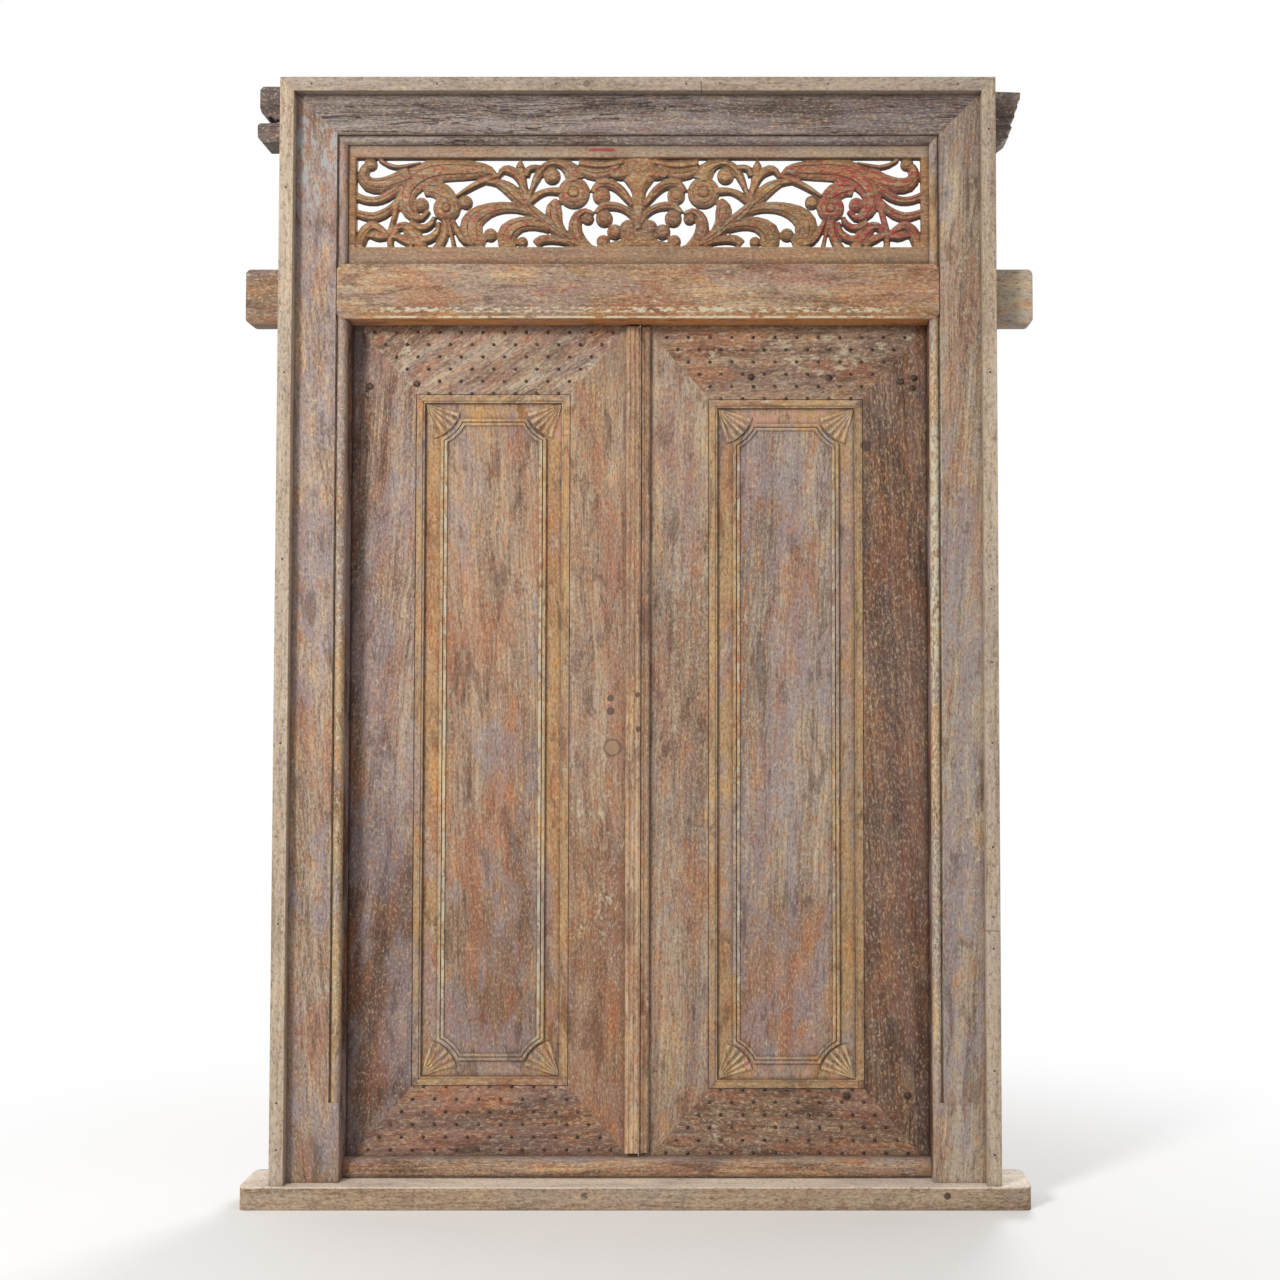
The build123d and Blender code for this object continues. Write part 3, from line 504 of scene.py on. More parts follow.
def iron(name):
    """Hand-made nail heads: dark, dull and a little rusty."""
    material, tree, where = new_finish(name)
    blotch = noise(tree, where, 160.0, 4.0)
    rusty = spread(tree, blotch, 0.45, 0.65)
    colour = blend_colour(tree, rusty, shade(62, 50, 44), shade(112, 84, 64))
    dull = spread(tree, blotch, 0.4, 0.7, 0.45, 0.8)
    surface = add_surface(tree, colour, dull, noise(tree, where, 600.0, 3.0), 0.4, 0.001)[0]
    put(tree, surface.inputs["Metallic"], spread(tree, blotch, 0.45, 0.65, 0.6, 0.1))
    return material


def dress(material, *names):
    for name in names:
        piece = nodes[name]
        for slot in piece.material_slots:
            slot.link = "OBJECT"
            slot.material = material


# The frame's timbers

# Painted shadow of the posts on the hanging stiles beside them
BESIDE_POST_SHADE = (84, 62, 50)
BEAD = (190, 160, 114)
# Reddish brown of the reveals, darkened further as painted shade
REVEAL = (70, 36, 20)
WEATHERED = (128, 114, 106)

sill_top = max(corner.co.z for corner in nodes["sill"].data.vertices)
# The near-white stretch on the sill's top is painted light, lifting the threshold's shade there
dress(teak("sill_finish", "x", (186, 164, 137), (166, 142, 115), (138, 115, 91), 1.0, figure=0.25,
           cracking=0.4, grey=0.2, rust=0.12, chalk=0.1, edge=0.5, radius=0.004, dirt_and_shade_depth=0.2,
           stain=0.35, reach=0.008,
           zones=[((250, 244, 232), 1.0, (0.0, -0.03, sill_top), (0.95, 0.1, 0.003), 0.003)]),
      "sill")
dress(teak("plug_finish", "x", (110, 90, 72), (88, 70, 56), (60, 46, 38), 1.5), "sill_plugs")
dress(teak("threshold_finish", "x", (190, 160, 126), (150, 118, 90), (92, 70, 54), 2.0, figure=0.5,
           cracking=0.6, grey=0.15, rust=0.35, radius=0.004,
           zones=[((160, 154, 150), 0.9, (0.0, 0.02, 0.1), (0.7, 0.06, 0.01), 0.012)]), "threshold")
dress(teak("left_post_finish", "z", (192, 170, 148), (170, 146, 124), (132, 108, 89), 3.0,
           slope=3.0, figure=0.45, cracking=0.4, grey=0.65, rust=0.4, chalk=0.3, green=0.2,
           reach=0.012,
           patches=[(PALE_BLUE, (-0.755, -0.04, 2.42), (0.07, 0.03, 0.15), 0.5, 60.0),
                    (CHALK, (-0.687, -0.03, 1.15), (0.016, 0.012, 0.9), 0.42, 220.0),
                    (TURQUOISE, (-0.687, -0.03, 0.8), (0.016, 0.012, 0.6), 0.3, 160.0)],
           zones=[(REVEAL, 1.0, (-0.67, 0.011, 1.05), (0.012, 0.034, 0.98), 0.004),
                  (BEAD, 0.8, (-0.687, -0.034, 1.33), (0.0112, 0.008, 1.1), 0.002),
                  (WEATHERED, 0.7, (-0.75, 0.0, 2.5), (0.1, 0.2, 0.1), 0.16),
                  ((146, 130, 110), 0.95, (-0.755, -0.04, 0.1), (0.066, 0.03, 0.07), 0.04)]),
      "left_post")
dress(teak("right_post_finish", "z", (192, 177, 156), (168, 151, 130), (128, 110, 93), 4.0,
           slope=-3.0, figure=0.45, cracking=0.45, grey=0.65, rust=0.3, chalk=0.3, green=0.2,
           reach=0.012,
           patches=[(PALE_BLUE, (0.755, -0.04, 1.75), (0.07, 0.03, 0.35), 0.3, 50.0),
                    (CHALK, (0.687, -0.03, 1.5), (0.016, 0.012, 0.3), 0.62, 110.0),
                    (CHALK, (0.687, -0.03, 1.15), (0.016, 0.012, 0.95), 0.5, 220.0)],
           zones=[(REVEAL, 1.0, (0.67, 0.011, 1.05), (0.012, 0.034, 0.98), 0.004),
                  (BEAD, 0.8, (0.687, -0.034, 1.33), (0.0112, 0.008, 1.1), 0.002),
                  (WEATHERED, 0.8, (0.75, 0.0, 2.5), (0.1, 0.2, 0.12), 0.16)]), "right_post")
dress(teak("head_finish", "x", (158, 148, 142), (126, 113, 105), (84, 71, 65), 5.0, figure=0.2,
           cracking=1.0, grey=0.3, rust=0.1, chalk=0.35, green=0.2, relief=0.9, radius=0.003,
           stain=0.6,
           zones=[((62, 50, 42), 0.9, (-0.88, 0.03, 2.5), (0.05, 0.2, 0.2), 0.03),
                  ((98, 88, 80), 0.85, (0.88, 0.03, 2.5), (0.05, 0.2, 0.2), 0.03)]), "head_beam")
# The golden zone along the transom's underside, at 2.03, is painted light against its shade
dress(teak("transom_finish", "x", (186, 160, 126), (164, 133, 102), (136, 102, 75), 6.0, figure=0.3,
           cracking=0.35, grey=0.3, rust=0.45, chalk=0.5, reach=0.012,
           patches=[(CHALK, (0.0, -0.03, 2.051), (0.68, 0.03, 0.007), 0.55, 110.0),
                    (CHALK, (0.0, -0.06, 2.034), (0.68, 0.03, 0.0025), 0.7, 60.0)],
           zones=[((158, 120, 72), 0.85, (0.0, -0.04, 2.042), (0.69, 0.02, 0.014), 0.012),
                  ((206, 146, 84), 1.0, (0.0, 0.0, 2.03), (0.69, 0.1, 0.001), 0.001),
                  ((126, 102, 78), 0.85, (-0.9, 0.0, 2.1), (0.06, 0.2, 0.2), 0.03),
                  ((184, 178, 164), 0.95, (0.9, 0.0, 2.1), (0.06, 0.2, 0.2), 0.03)]), "transom")
dress(teak("strip_finish", "z", (206, 188, 166), (188, 170, 147), (160, 140, 117), 7.0, figure=0.4,
           cracking=0.1, grey=0.2, rust=0.08, chalk=0.0, dirt_and_shade_depth=0.75, relief=0.2, stain=0.25),
      "left_edge_strip", "right_edge_strip_lower", "right_edge_strip_upper")
dress(teak("top_strip_finish", "x", (178, 164, 148), (164, 148, 130), (140, 122, 103), 8.0,
           figure=0.4, cracking=0.1, grey=0.2, rust=0.08, chalk=0.0, dirt_and_shade_depth=0.75, relief=0.2,
           stain=0.25,
           spots=[((120, 96, 76), (-0.118, -0.068, 2.572), 0.007)]),
      "top_edge_strip_left", "top_edge_strip_right")
carving_finish = teak(
    "carving_finish", "x", (176, 138, 92), (156, 116, 73), (124, 86, 52), 9.0, figure=0.2,
    cracking=0.15, grey=0.1, rust=0.3, chalk=0.1, green=0.3, dirt_and_shade_depth=1.0, reach=0.02,
    edge=0.5, radius=0.0012, relief=0.2, under=0.8, stain=0.45,
    zones=[((172, 162, 146), 0.85, (0.0, -0.03, 2.434), (0.69, 0.02, 0.02), 0.008),
           ((158, 138, 116), 0.7, (0.0, -0.03, 2.18), (0.69, 0.02, 0.02), 0.008)],
    patches=[(TURQUOISE, (0.0, -0.02, 2.305), (0.66, 0.03, 0.1), 0.32, 130.0),
             (CRIMSON, (-0.33, -0.02, 2.305), (0.33, 0.03, 0.1), 0.4, 160.0),
             (CRIMSON, (0.15, -0.02, 2.305), (0.15, 0.03, 0.1), 0.36, 160.0),
             (CRIMSON, (0.54, -0.02, 2.305), (0.13, 0.03, 0.1), 0.56, 150.0),
             (CRIMSON, (0.38, -0.02, 2.38), (0.06, 0.03, 0.03), 0.5, 150.0),
             (CRIMSON, (-0.086, -0.03, 2.43), (0.034, 0.02, 0.004), 0.95, 90.0)])
dress(carving_finish, "carved_board")

# The two leaves

# Middle, foot and top of each panel's opening
LEFT_PANEL = (-0.344, 0.275, 1.847)
RIGHT_PANEL = (0.344, 0.268, 1.835)


def round_panel(panel, depth, rows):
    """Zones that run round a panel. A row is colour, strength, how far the uprights and the level
    strips lie from the panel's middle, the half sizes of both, and the softness."""
    centre_x, low, high = panel
    middle = (low + high) / 2
    found = []
    for side in (-1, 1):
        for colour, strength, across, up, upright, level, soft in rows:
            beside = (centre_x + side * across, depth, middle)
            found.append((colour, strength, beside, upright, soft))
            above = (centre_x, depth, middle + side * up)
            found.append((colour, strength, above, level, soft))
    return found


def margin_zones(panel, colour):
    """The plain band round a panel's bead, yellower than its field, and the pale bead itself."""
    half = (panel[2] - panel[1]) / 2
    return round_panel(panel, 0.04, (
        (colour, 0.85, 0.142, half - 0.017, (0.018, 0.1, half), (0.16, 0.1, 0.018), 0.006),
        (BEAD, 0.9, 0.116, half - 0.045, (0.008, 0.1, half - 0.06), (0.1, 0.1, 0.008), 0.003)))


def sight_edges(panel):
    """The paler moulding round a panel opening."""
    half = (panel[2] - panel[1]) / 2
    return round_panel(panel, 0.034, (
        (BEAD, 0.85, 0.171, half + 0.009, (0.009, 0.03, half), (0.165, 0.03, 0.009), 0.003),))


dress(teak("left_hanging_finish", "z", (184, 162, 142), (150, 125, 108), (104, 80, 66), 10.0,
           slope=-4.0, figure=0.5, cracking=0.6, grey=0.5, rust=0.35, chalk=0.35, green=0.3,
           zones=[(BESIDE_POST_SHADE, 0.85, (-0.672, 0.03, 1.1), (0.026, 0.1, 1.2), 0.05),
                  ((88, 56, 40), 0.9, (-0.58, 0.03, 0.4), (0.09, 0.1, 0.4), 0.3)]
           + sight_edges(LEFT_PANEL),
           spots=[((30, 22, 18), (-0.641, 0.03, 1.876), 0.004),
                  ((30, 22, 18), (-0.641, 0.03, 1.859), 0.004)]),
      "left_hanging_stile")
dress(teak("left_meeting_finish", "z", (190, 166, 138), (164, 135, 107), (134, 103, 80), 11.0,
           slope=1.5, figure=0.5, cracking=0.3, grey=0.15, rust=0.4, chalk=0.25, green=0.2,
           zones=[((140, 102, 76), 0.7, (-0.1, 0.03, 0.4), (0.1, 0.1, 0.4), 0.3),
                  ((150, 132, 114), 0.7, (-0.09, 0.03, 1.95), (0.05, 0.1, 0.05), 0.05)]
           + sight_edges(LEFT_PANEL),
           spots=[((60, 46, 40), (-0.066, 0.033, 1.152), 0.007),
                  ((70, 52, 42), (-0.066, 0.033, 1.122), 0.008),
                  ((160, 132, 104), (-0.062, 0.033, 1.037), 0.019)]), "left_meeting_stile")
dress(teak("right_meeting_finish", "z", (187, 166, 138), (160, 136, 112), (132, 106, 87), 12.0,
           slope=-1.5, figure=0.5, cracking=0.35, grey=0.25, rust=0.35, chalk=0.3, green=0.2,
           zones=sight_edges(RIGHT_PANEL)), "right_meeting_stile")
dress(teak("right_hanging_finish", "z", (152, 122, 96), (110, 82, 62), (74, 48, 34), 13.0,
           slope=3.0, figure=0.5, cracking=0.4, grey=0.12, rust=0.25, chalk=0.15, green=0.15,
           zones=[(BESIDE_POST_SHADE, 0.5, (0.672, 0.03, 1.1), (0.02, 0.1, 1.2), 0.05),
                  ((88, 58, 42), 0.6, (0.6, 0.03, 0.45), (0.07, 0.1, 0.45), 0.3)]
           + sight_edges(RIGHT_PANEL),
           spots=[((70, 52, 42), (0.533, 0.033, 1.745), 0.012)]), "right_hanging_stile")
dress(teak("left_top_rail_finish", "x", (186, 168, 144), (158, 133, 110), (122, 96, 78), 14.0,
           slope=32.0, figure=0.4, cracking=1.0, grey=0.25, rust=0.45, chalk=0.75, green=0.3,
           zones=sight_edges(LEFT_PANEL)), "left_top_rail")
dress(teak("right_top_rail_finish", "x", (172, 148, 120), (144, 115, 90), (112, 84, 66), 15.0,
           slope=3.0, figure=0.4, cracking=0.5, grey=0.15, rust=0.4, chalk=0.8, green=0.25,
           zones=sight_edges(RIGHT_PANEL)), "right_top_rail")
dress(teak("left_bottom_rail_finish", "x", (160, 128, 103), (134, 100, 80), (102, 73, 58), 16.0,
           slope=3.0, figure=0.4, cracking=0.4, grey=0.15, rust=0.45, chalk=0.4, green=0.45,
           zones=sight_edges(LEFT_PANEL)), "left_bottom_rail")
dress(teak("right_bottom_rail_finish", "x", (152, 125, 100), (127, 98, 78), (97, 72, 56), 17.0,
           slope=-3.0, figure=0.4, cracking=0.4, grey=0.15, rust=0.35, chalk=0.3, green=0.45,
           zones=sight_edges(RIGHT_PANEL)), "right_bottom_rail")

dress(teak("left_panel_finish", "z", (190, 164, 136), (164, 136, 111), (132, 103, 83), 18.0,
           slope=2.0, figure=0.6, cracking=0.4, grey=0.5, rust=0.45, chalk=0.25, green=0.1,
           reach=0.01, radius=0.0012, dirt_and_shade_depth=0.8,
           zones=[((112, 80, 58), 0.75, (-0.344, 0.04, 0.48), (0.11, 0.1, 0.2), 0.3)]
           + margin_zones(LEFT_PANEL, (186, 150, 102)),
           patches=[(CHALK, (-0.344, 0.0355, 1.061), (0.13, 0.0022, 0.76), 0.6, 80.0),
                    (ROSE, (-0.19, 0.04, 1.79), (0.012, 0.03, 0.03), 0.6, 120.0)]), "left_panel")
dress(teak("right_panel_finish", "z", (186, 168, 147), (158, 138, 119), (124, 104, 90), 19.0,
           slope=-2.0, figure=0.6, cracking=0.45, grey=0.55, rust=0.4, chalk=0.25, green=0.15,
           reach=0.01, radius=0.0012, dirt_and_shade_depth=0.8,
           zones=[((146, 110, 84), 0.7, (0.344, 0.04, 0.48), (0.11, 0.1, 0.2), 0.3)]
           + margin_zones(RIGHT_PANEL, (184, 153, 107)),
           patches=[(ROSE, (0.344, 0.04, 1.815), (0.13, 0.03, 0.022), 0.55, 45.0),
                    (ROSE, (0.344, 0.04, 0.287), (0.14, 0.03, 0.022), 0.45, 45.0),
                    (CHALK, (0.344, 0.0355, 1.05), (0.13, 0.0022, 0.76), 0.45, 80.0)]),
      "right_panel")
dress(teak("cover_strip_finish", "z", (208, 180, 146), (192, 160, 127), (158, 124, 96), 20.0,
           figure=0.2, cracking=0.2, grey=0.15, rust=0.4, chalk=0.35, green=0.15, reach=0.008,
           zones=[((146, 120, 94), 0.7, (0.016, 0.025, 1.06), (0.011, 0.1, 1.0), 0.004)],
           spots=[((70, 44, 34), (-0.002, 0.02, 1.16), 0.006),
                  ((60, 44, 36), (0.0, 0.02, 1.08), 0.006)]),
      "cover_strip")
fan_finish = teak("fan_finish", "z", (218, 194, 150), (198, 168, 124), (150, 118, 82), 21.0,
                  figure=0.2, cracking=0.1, grey=0.1, rust=0.2, chalk=0.5, green=0.2,
                  dirt_and_shade_depth=0.9, reach=0.01, edge=0.5, radius=0.001)
nail_iron = iron("nail_iron")
dress(nail_iron, "strip_nails", "left_top_rail_nails", "left_bottom_rail_nails",
      "right_top_rail_nails", "right_bottom_rail_nails", "left_large_nails", "right_large_nails")


# Nails with domed, hand-hammered heads in place of the plain ones

HEAD_FLAT = 0.86  # where the hammered top cuts a head of radius 1
RAIL_HEAD_DEPTH = 0.0034
LARGE_HEAD_DEPTH = 0.004


def deselect():
    if bpy.context.object and bpy.context.object.mode != "OBJECT":
        bpy.ops.object.mode_set(mode="OBJECT")
    bpy.ops.object.select_all(action="DESELECT")


def take(piece):
    deselect()
    piece.select_set(True)
    bpy.context.view_layer.objects.active = piece


def join(pieces, name, finish):
    """The pieces as one object with a name and one finish."""
    take(pieces[0])
    for piece in pieces[1:]:
        piece.select_set(True)
    bpy.ops.object.join()
    joined = bpy.context.object
    joined.name = name
    joined.data.materials.clear()
    joined.data.materials.append(finish)
    return joined


def nail_places(node_name):
    """Middle, half width and front of every loose piece of a node of nails."""
    data = bmesh.new()
    data.from_mesh(nodes[node_name].data)
    bmesh.ops.remove_doubles(data, verts=data.verts, dist=1e-6)
    unseen = set(data.verts)
    places = []
    while unseen:
        island = {unseen.pop()}
        edge_of_island = list(island)
        while edge_of_island:
            corner = edge_of_island.pop()
            for edge in corner.link_edges:
                other = edge.other_vert(corner)
                if other in unseen:
                    unseen.remove(other)
                    island.add(other)
                    edge_of_island.append(other)
        xs, ys, zs = zip(*(corner.co for corner in island))
        places.append(((min(xs) + max(xs)) / 2, (min(zs) + max(zs)) / 2,
                       (max(xs) - min(xs)) / 2, min(ys)))
    data.free()
    return sorted(places)


def model_head():
    """One head of radius 1 that bulges to -Y, with a flat hammered top."""
    deselect()
    bpy.ops.mesh.primitive_uv_sphere_add(segments=10, ring_count=8, radius=1.0,
                                         rotation=(math.pi / 2, 0, 0))
    head = bpy.context.object
    bpy.ops.object.transform_apply(location=False, rotation=True, scale=False)
    bpy.ops.object.mode_set(mode="EDIT")
    bpy.ops.mesh.select_all(action="SELECT")
    bpy.ops.mesh.bisect(plane_co=(0.0, 0.05, 0.0), plane_no=(0.0, 1.0, 0.0), use_fill=True,
                        clear_outer=True)
    bpy.ops.mesh.select_all(action="SELECT")
    bpy.ops.mesh.bisect(plane_co=(0.0, -HEAD_FLAT, 0.0), plane_no=(0.0, 1.0, 0.0), use_fill=True,
                        clear_inner=True)
    bpy.ops.object.mode_set(mode="OBJECT")
    bpy.ops.object.shade_smooth_by_angle(angle=math.radians(60))
    return head


def hammer_nails(node_name, finish, body, head_depth):
    """A copy of the head on every nail of a node, each a little out of true."""
    wobble = random.Random(node_name)
    copies = []
    for x, z, radius, front in nail_places(node_name):
        copy = bring(node_name + "_head", head.data.copy())
        size = radius * wobble.uniform(0.88, 0.99)
        tilt = Matrix.Rotation(wobble.uniform(0, math.tau), 4, "Y")
        lean = Matrix.Rotation(wobble.uniform(-0.08, 0.08), 4, "X")
        stretch = Matrix.Diagonal((size, head_depth / HEAD_FLAT * wobble.uniform(0.75, 0.98),
                                   size * wobble.uniform(0.88, 1.0), 1.0))
        copy.data.transform(Matrix.Translation((x, front + head_depth, z)) @ lean @ stretch @ tilt)
        copies.append(copy)
    nails = join(copies, node_name + "_domed", finish)
    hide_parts(node_name)
    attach(nails, body)


head = model_head()
for side in ("left", "right"):
    for group in ("top_rail_nails", "bottom_rail_nails"):
        hammer_nails(f"{side}_{group}", nail_iron, f"{side}_leaf", RAIL_HEAD_DEPTH)
    hammer_nails(f"{side}_large_nails", nail_iron, f"{side}_leaf", LARGE_HEAD_DEPTH)
bpy.data.objects.remove(head)


# Ribs of the fans in the corners of the panels, each a tapered flute

RIB_LENGTH = 0.084
RIB_WIDE = 0.0088
RIB_THIN = 0.0012
RIB_SWELL = 1.72  # how much deeper a rib is than wide
RIBS = 5
FAN_CLEAR = 13  # degrees left free on either side of a fan
FAN_DIP = 7  # degrees by which a rib sinks towards its wide end
FAN_DEPTH = 0.043
FAN_SIDES = ((0.183, 1), (0.505, -1))  # distance from the middle of the door, way it opens


def model_rib():
    """A rib from its thin end at the origin along +X, its crown towards -Y and its back cut off."""
    deselect()
    bpy.ops.mesh.primitive_cone_add(vertices=16, radius1=RIB_WIDE, radius2=RIB_THIN,
                                    depth=RIB_LENGTH, location=(RIB_LENGTH / 2, 0, 0),
                                    rotation=(0, -math.pi / 2, 0))
    rib = bpy.context.object
    bpy.ops.object.transform_apply(location=True, rotation=True, scale=True)
    bpy.ops.object.mode_set(mode="EDIT")
    bpy.ops.mesh.select_all(action="SELECT")
    bpy.ops.transform.resize(value=(1.0, RIB_SWELL, 1.0), center_override=(0, 0, 0))
    bpy.ops.mesh.bisect(plane_co=(0, 0.001, 0), plane_no=(0, 1, 0), use_fill=True,
                        clear_outer=True)
    bpy.ops.mesh.select_all(action="DESELECT")
    bpy.ops.object.mode_set(mode="OBJECT")
    for face in rib.data.polygons:
        face.select = face.normal.x > 0.9
    bpy.ops.object.mode_set(mode="EDIT")
    bpy.ops.mesh.bevel(offset=0.004, segments=3, profile=0.6)
    bpy.ops.object.mode_set(mode="OBJECT")
    bpy.ops.object.shade_smooth_by_angle(angle=math.radians(50))
    return rib


def fan_corners(side):
    """The four corners of a leaf's panel opening and the way each fan opens from it."""
    low, high = (LEFT_PANEL if side < 0 else RIGHT_PANEL)[1:]
    return [(side * x, z, way_x * side, way_z) for x, way_x in FAN_SIDES
            for z, way_z in ((low, 1), (high, -1))]


def set_fans(side, body):
    copies = []
    for x, z, way_x, way_z in fan_corners(side):
        for n in range(RIBS):
            angle = math.radians(FAN_CLEAR + (90 - 2 * FAN_CLEAR) * (n + 0.5) / RIBS)
            copy = bring(body + "_rib", rib.data.copy())
            dip = Matrix.Rotation(math.radians(FAN_DIP), 4, "Z")
            swing = Matrix.Rotation(-angle, 4, "Y")
            flip = Matrix.Diagonal((way_x, 1, way_z, 1))
            copy.data.transform(Matrix.Translation((x, FAN_DEPTH, z)) @ flip @ swing @ dip)
            if way_x * way_z < 0:
                copy.data.flip_normals()
            copies.append(copy)
    fans = join(copies, body + "_fans", fan_finish)
    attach(fans, body)


rib = model_rib()
set_fans(-1, "left_leaf")
set_fans(1, "right_leaf")
bpy.data.objects.remove(rib)


# Old paint and dirt pressed into the quirks beside the beads of posts and head

QUIRK_SIDE = 0.699  # from the middle of the door to a post's quirk
QUIRK_TOP = 2.463
QUIRK_DEPTH = -0.0354
FILLING_WIDTH = 0.0018
FILLING_DEPTH = 0.0048


def fill_quirks():
    bars = []
    for side in (-1, 1):
        for low, high in ((0.233, 2.029), (2.159, QUIRK_TOP)):
            bars.append(((side * QUIRK_SIDE, QUIRK_DEPTH, (low + high) / 2),
                         (FILLING_WIDTH, FILLING_DEPTH, high - low)))
    bars.append(((0.0, QUIRK_DEPTH, QUIRK_TOP), (1.396, FILLING_DEPTH, FILLING_WIDTH)))
    deselect()
    made = []
    for place, size in bars:
        bpy.ops.mesh.primitive_cube_add(size=1.0, location=place)
        bar = bpy.context.object
        bar.scale = size
        bpy.ops.object.transform_apply(location=True, rotation=True, scale=True)
        made.append(bar)
    filling = join(made, "quirk_filling", teak(
        "quirk_filling_finish", "z", (172, 146, 106), (140, 112, 78), (104, 80, 56), 22.0,
        chalk=0.4, dirt_and_shade_depth=0.3, stain=0.5))
    bpy.ops.object.mode_set(mode="EDIT")
    bpy.ops.mesh.select_all(action="SELECT")
    bpy.ops.mesh.bevel(offset=0.0005, segments=2)
    bpy.ops.object.mode_set(mode="OBJECT")
    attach(filling, "frame")


fill_quirks()


# Carved board: worn round all over, with the carver's cuts along its leaves

LAYOUT_UNIT = 0.00233
LAYOUT_RISE = 0.0024
FIELD_FOOT = 2.202
WEAR = 0.0017  # size of the grid that wears the board round
CUT_REACH = 0.0018
CUT_DEPTH = 0.002
MOST_TRIANGLES = 190000

# Middle lines of the leaves that carry cuts, as (distance from the centre line, height above the
# foot of the field, width), in layout units
cut_leaves = [
    [(276.5, 71, 12), (271, 62.5, 15), (259, 61, 16), (245, 64.5, 17), (229, 71, 20)],
    [(155, 76, 12), (165, 76, 18), (179, 76, 20), (199, 76, 23), (217, 71, 25), (229, 61, 23),
     (233, 50, 18), (232, 39, 14), (226, 32, 10)],
    [(214, 57, 12), (207, 58, 16), (196, 54, 18), (188, 47, 13)],
    [(141, 63.5, 9), (132, 59, 13), (123, 51.5, 14), (115, 43, 10)],
    [(104, 66, 8), (97, 77, 9), (88, 83, 7), (77, 82, 10), (68, 76, 16)],
    [(84.5, 42, 12), (85, 32, 17), (82, 23, 13), (76, 15, 9)],
    [(113, 43, 8), (104, 33, 12), (93, 25, 11), (81, 15, 10), (68, 7, 10)],
    [(92, 21, 12), (103, 23.5, 13), (118, 23, 15), (130, 16, 20), (132, 6, 19)],
    [(113, 36, 8), (122, 39, 10), (137, 39.5, 11.5), (151, 36.5, 15), (164, 29, 21), (168, 19, 23),
     (164, 8, 20)],
    [(242, 18.5, 8), (235, 21, 10), (227, 14.5, 15), (221, 6, 14)],
    [(277.5, 9, 12), (273, 17, 12), (266, 21, 10)],
    [(284, 51, 9), (275, 47, 8.5), (264, 46, 8.5), (253, 49.5, 9), (241, 58, 10)],
    [(284, 34.5, 8), (276, 31.5, 9), (266, 30, 10), (256, 33, 10), (247, 39.5, 8)],
    [(53, 35.5, 7), (60.5, 32, 10), (63.5, 24, 13), (63, 15, 14), (58, 6, 13)],
    [(40, 61.5, 10), (30, 62.5, 10), (21, 58.5, 10), (14, 51.5, 9)],
    [(36, 40, 8), (26, 41, 9), (16, 38.5, 8), (7, 32.5, 8)],
    [(57, 77, 8), (50, 73.5, 12), (39, 72, 12), (29, 74.5, 11)],
]
cut_rings = [(192.4, 38.5, 9.5), (192.4, 38.5, 4.5), (65, 54, 11), (65, 54, 5.5), (218, 42, 4),
             (269, 82, 3.5), (37.5, 51, 5), (34.5, 28.5, 4.6), (51, 28.5, 3.2), (148.5, 12.5, 3.6)]


def run_lines():
    """The cuts of the left half as lists of (distance, height): one or two along each leaf."""
    lines = []
    for leaf in cut_leaves:
        shares = (-0.22, 0.22) if max(w for u, v, w in leaf) > 13 else (0.0,)
        for share in shares:
            line = []
            for n, (u, v, width) in enumerate(leaf):
                before = leaf[max(n - 1, 0)]
                after = leaf[min(n + 1, len(leaf) - 1)]
                run = Vector((after[0] - before[0], after[1] - before[1])).normalized()
                line.append((u - run.y * width * share, v + run.x * width * share))
            lines.append(line)
    for u, v, radius in cut_rings:
        turns = [math.tau * n / 12 for n in range(13)]
        lines.append([(u + radius * math.cos(a), v + radius * math.sin(a)) for a in turns])
    return lines


def lay_cuts(board):
    """The cuts as thin lines that lie on the face of the board."""
    data = bpy.data.curves.new("carver_cuts", "CURVE")
    data.dimensions = "3D"
    data.resolution_u = 5
    for line in run_lines():
        for side in (-1, 1):
            spline = data.splines.new("NURBS")
            spline.points.add(len(line) - 1)
            for point, (u, v) in zip(spline.points, line):
                point.co = (side * u * LAYOUT_UNIT, -0.06, FIELD_FOOT + v * LAYOUT_RISE, 1.0)
            spline.order_u = 3
            spline.use_endpoint_u = True
    take(bring("carver_cuts", data))
    bpy.ops.object.convert(target="MESH")
    cuts = bpy.context.object
    press = cuts.modifiers.new("press", "SHRINKWRAP")
    press.wrap_method = "PROJECT"
    press.use_project_x = False
    press.use_project_y = True
    press.use_project_z = False
    press.use_positive_direction = True
    press.use_negative_direction = False
    press.target = board
    bpy.ops.object.modifier_apply(modifier=press.name)
    return cuts


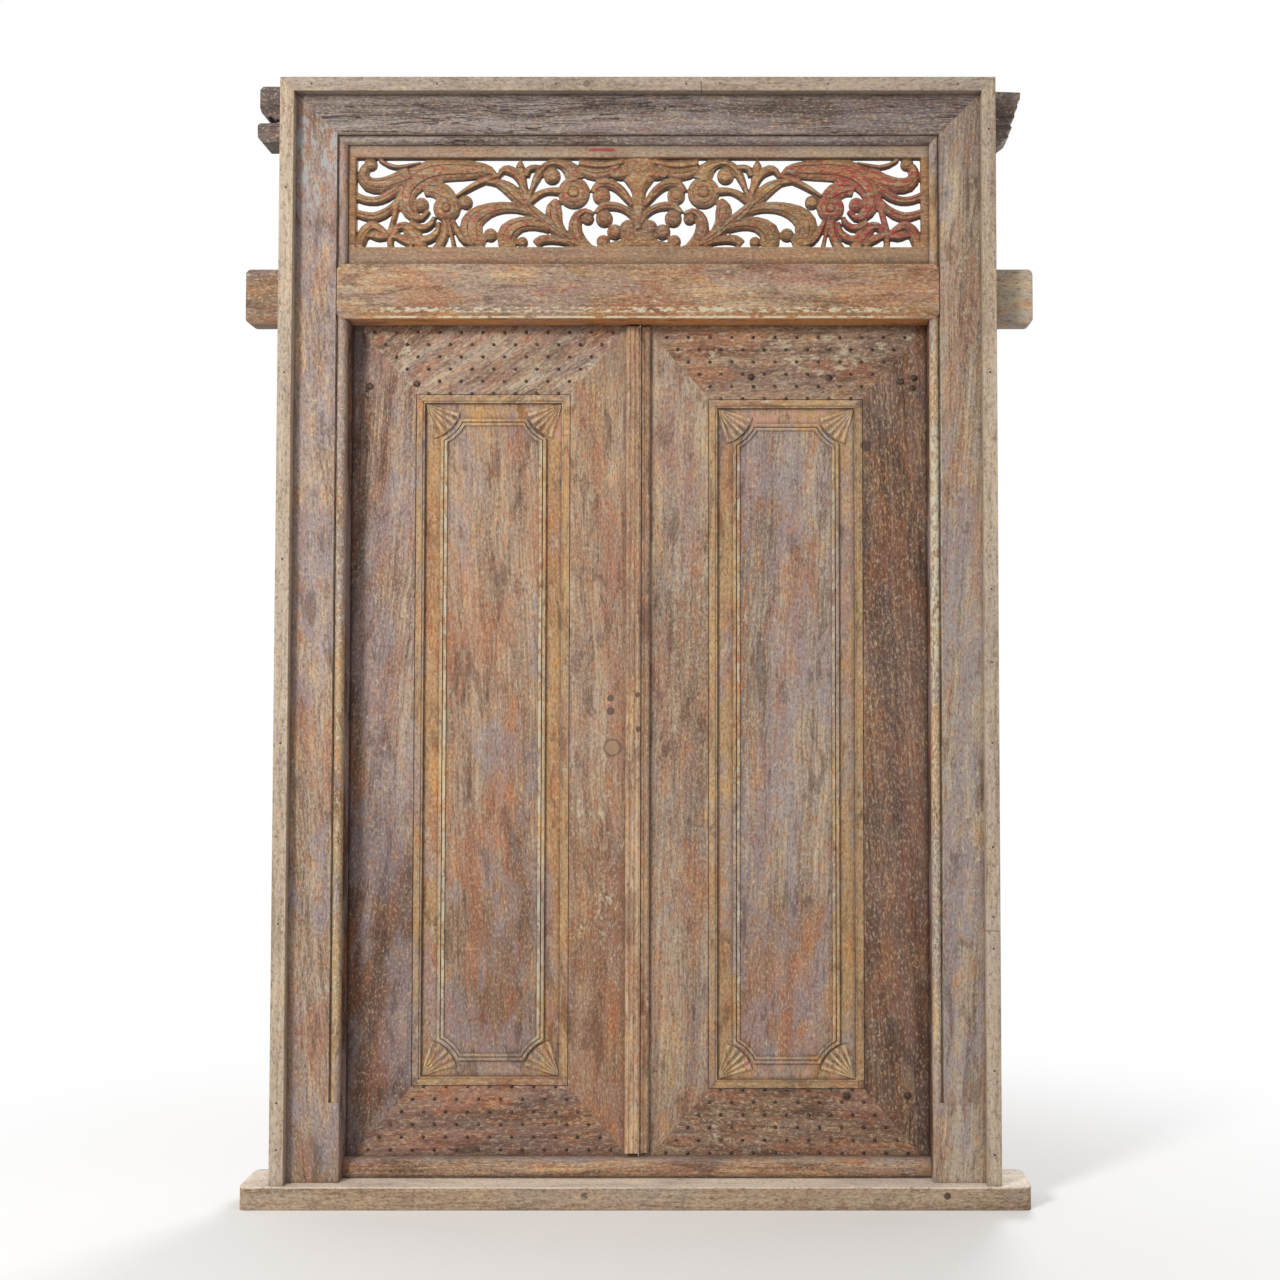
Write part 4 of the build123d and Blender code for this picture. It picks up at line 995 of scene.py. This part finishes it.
def carve_board():
    board = bring("carved_board_worn", nodes["carved_board"].data.copy())
    take(board)
    bpy.ops.object.mode_set(mode="EDIT")
    bpy.ops.mesh.select_all(action="SELECT")
    bpy.ops.mesh.remove_doubles(threshold=1e-5)
    bpy.ops.object.mode_set(mode="OBJECT")
    remesh = board.modifiers.new("worn", "REMESH")
    remesh.mode = "VOXEL"
    remesh.voxel_size = WEAR
    bpy.ops.object.modifier_apply(modifier=remesh.name)
    cuts = lay_cuts(board)
    take(board)
    group = board.vertex_groups.new(name="cut")
    group.add(range(len(board.data.vertices)), 1.0, "REPLACE")
    near = board.modifiers.new("near", "VERTEX_WEIGHT_PROXIMITY")
    near.vertex_group = "cut"
    near.target = cuts
    near.proximity_mode = "GEOMETRY"
    near.proximity_geometry = {"EDGE"}
    near.min_dist = CUT_REACH
    near.max_dist = 0.0003
    bpy.ops.object.modifier_apply(modifier=near.name)
    sink = board.modifiers.new("sink", "DISPLACE")
    sink.direction = "Y"
    sink.mid_level = 0.0
    sink.strength = CUT_DEPTH
    sink.vertex_group = "cut"
    bpy.ops.object.modifier_apply(modifier=sink.name)
    thin = board.modifiers.new("thin", "DECIMATE")
    thin.ratio = min(1.0, MOST_TRIANGLES / (2 * len(board.data.polygons)))
    bpy.ops.object.modifier_apply(modifier=thin.name)
    bpy.ops.object.shade_smooth_by_angle(angle=math.radians(50))
    board.vertex_groups.clear()
    bpy.data.objects.remove(cuts)
    board.data.materials.clear()
    board.data.materials.append(carving_finish)
    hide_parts("carved_board")
    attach(board, "frame")


carve_board()


# Setting


def lay_floor():
    deselect()
    bpy.ops.mesh.primitive_plane_add(size=24.0, location=(0.0, 0.0, 0.0))
    floor = bpy.context.object
    floor.name = "floor"
    material, tree, where = new_finish("pale_floor")
    path = tree.nodes.new("ShaderNodeLightPath")
    surface = tree.nodes.new("ShaderNodeBsdfDiffuse")
    seen = maths(tree, "MAXIMUM", path.outputs["Is Camera Ray"], path.outputs["Is Glossy Ray"])
    lit = (0.62, 0.62, 0.62, 1.0)
    put(tree, surface.inputs["Color"], blend_colour(tree, seen, lit, WHITE))
    white = tree.nodes.new("ShaderNodeEmission")
    far = vector_maths(tree, "LENGTH", where)
    fade = maths(tree, "MULTIPLY", spread(tree, far, 1.0, 2.4), seen)
    both = tree.nodes.new("ShaderNodeMixShader")
    put(tree, both.inputs[0], fade)
    put(tree, both.inputs[1], surface.outputs[0])
    put(tree, both.inputs[2], white.outputs[0])
    close_finish(tree, both.outputs[0])
    floor.data.materials.append(material)


def light_world():
    world = bpy.data.worlds.new("soft_studio")
    bpy.context.scene.world = world
    world.use_nodes = True
    tree = world.node_tree
    tree.nodes.clear()
    sky = tree.nodes.new("ShaderNodeBackground")
    put(tree, sky.inputs["Color"], WHITE)
    put(tree, sky.inputs["Strength"], white_seen(tree, 0.56))
    out = tree.nodes.new("ShaderNodeOutputWorld")
    put(tree, out.inputs["Surface"], sky.outputs[0])


stand_camera()
lay_floor()
light_world()
hang_lamp("key", (-3.4, -5.0, 3.3), (0.0, 0.0, 1.2), 1.4, 225.0, (1.0, 0.985, 0.96))
hang_lamp("back_fill", (1.5, 4.6, 3.2), (0.0, 0.0, 1.3), 2.5, 130.0)
bpy.context.scene.view_settings.view_transform = "Standard"
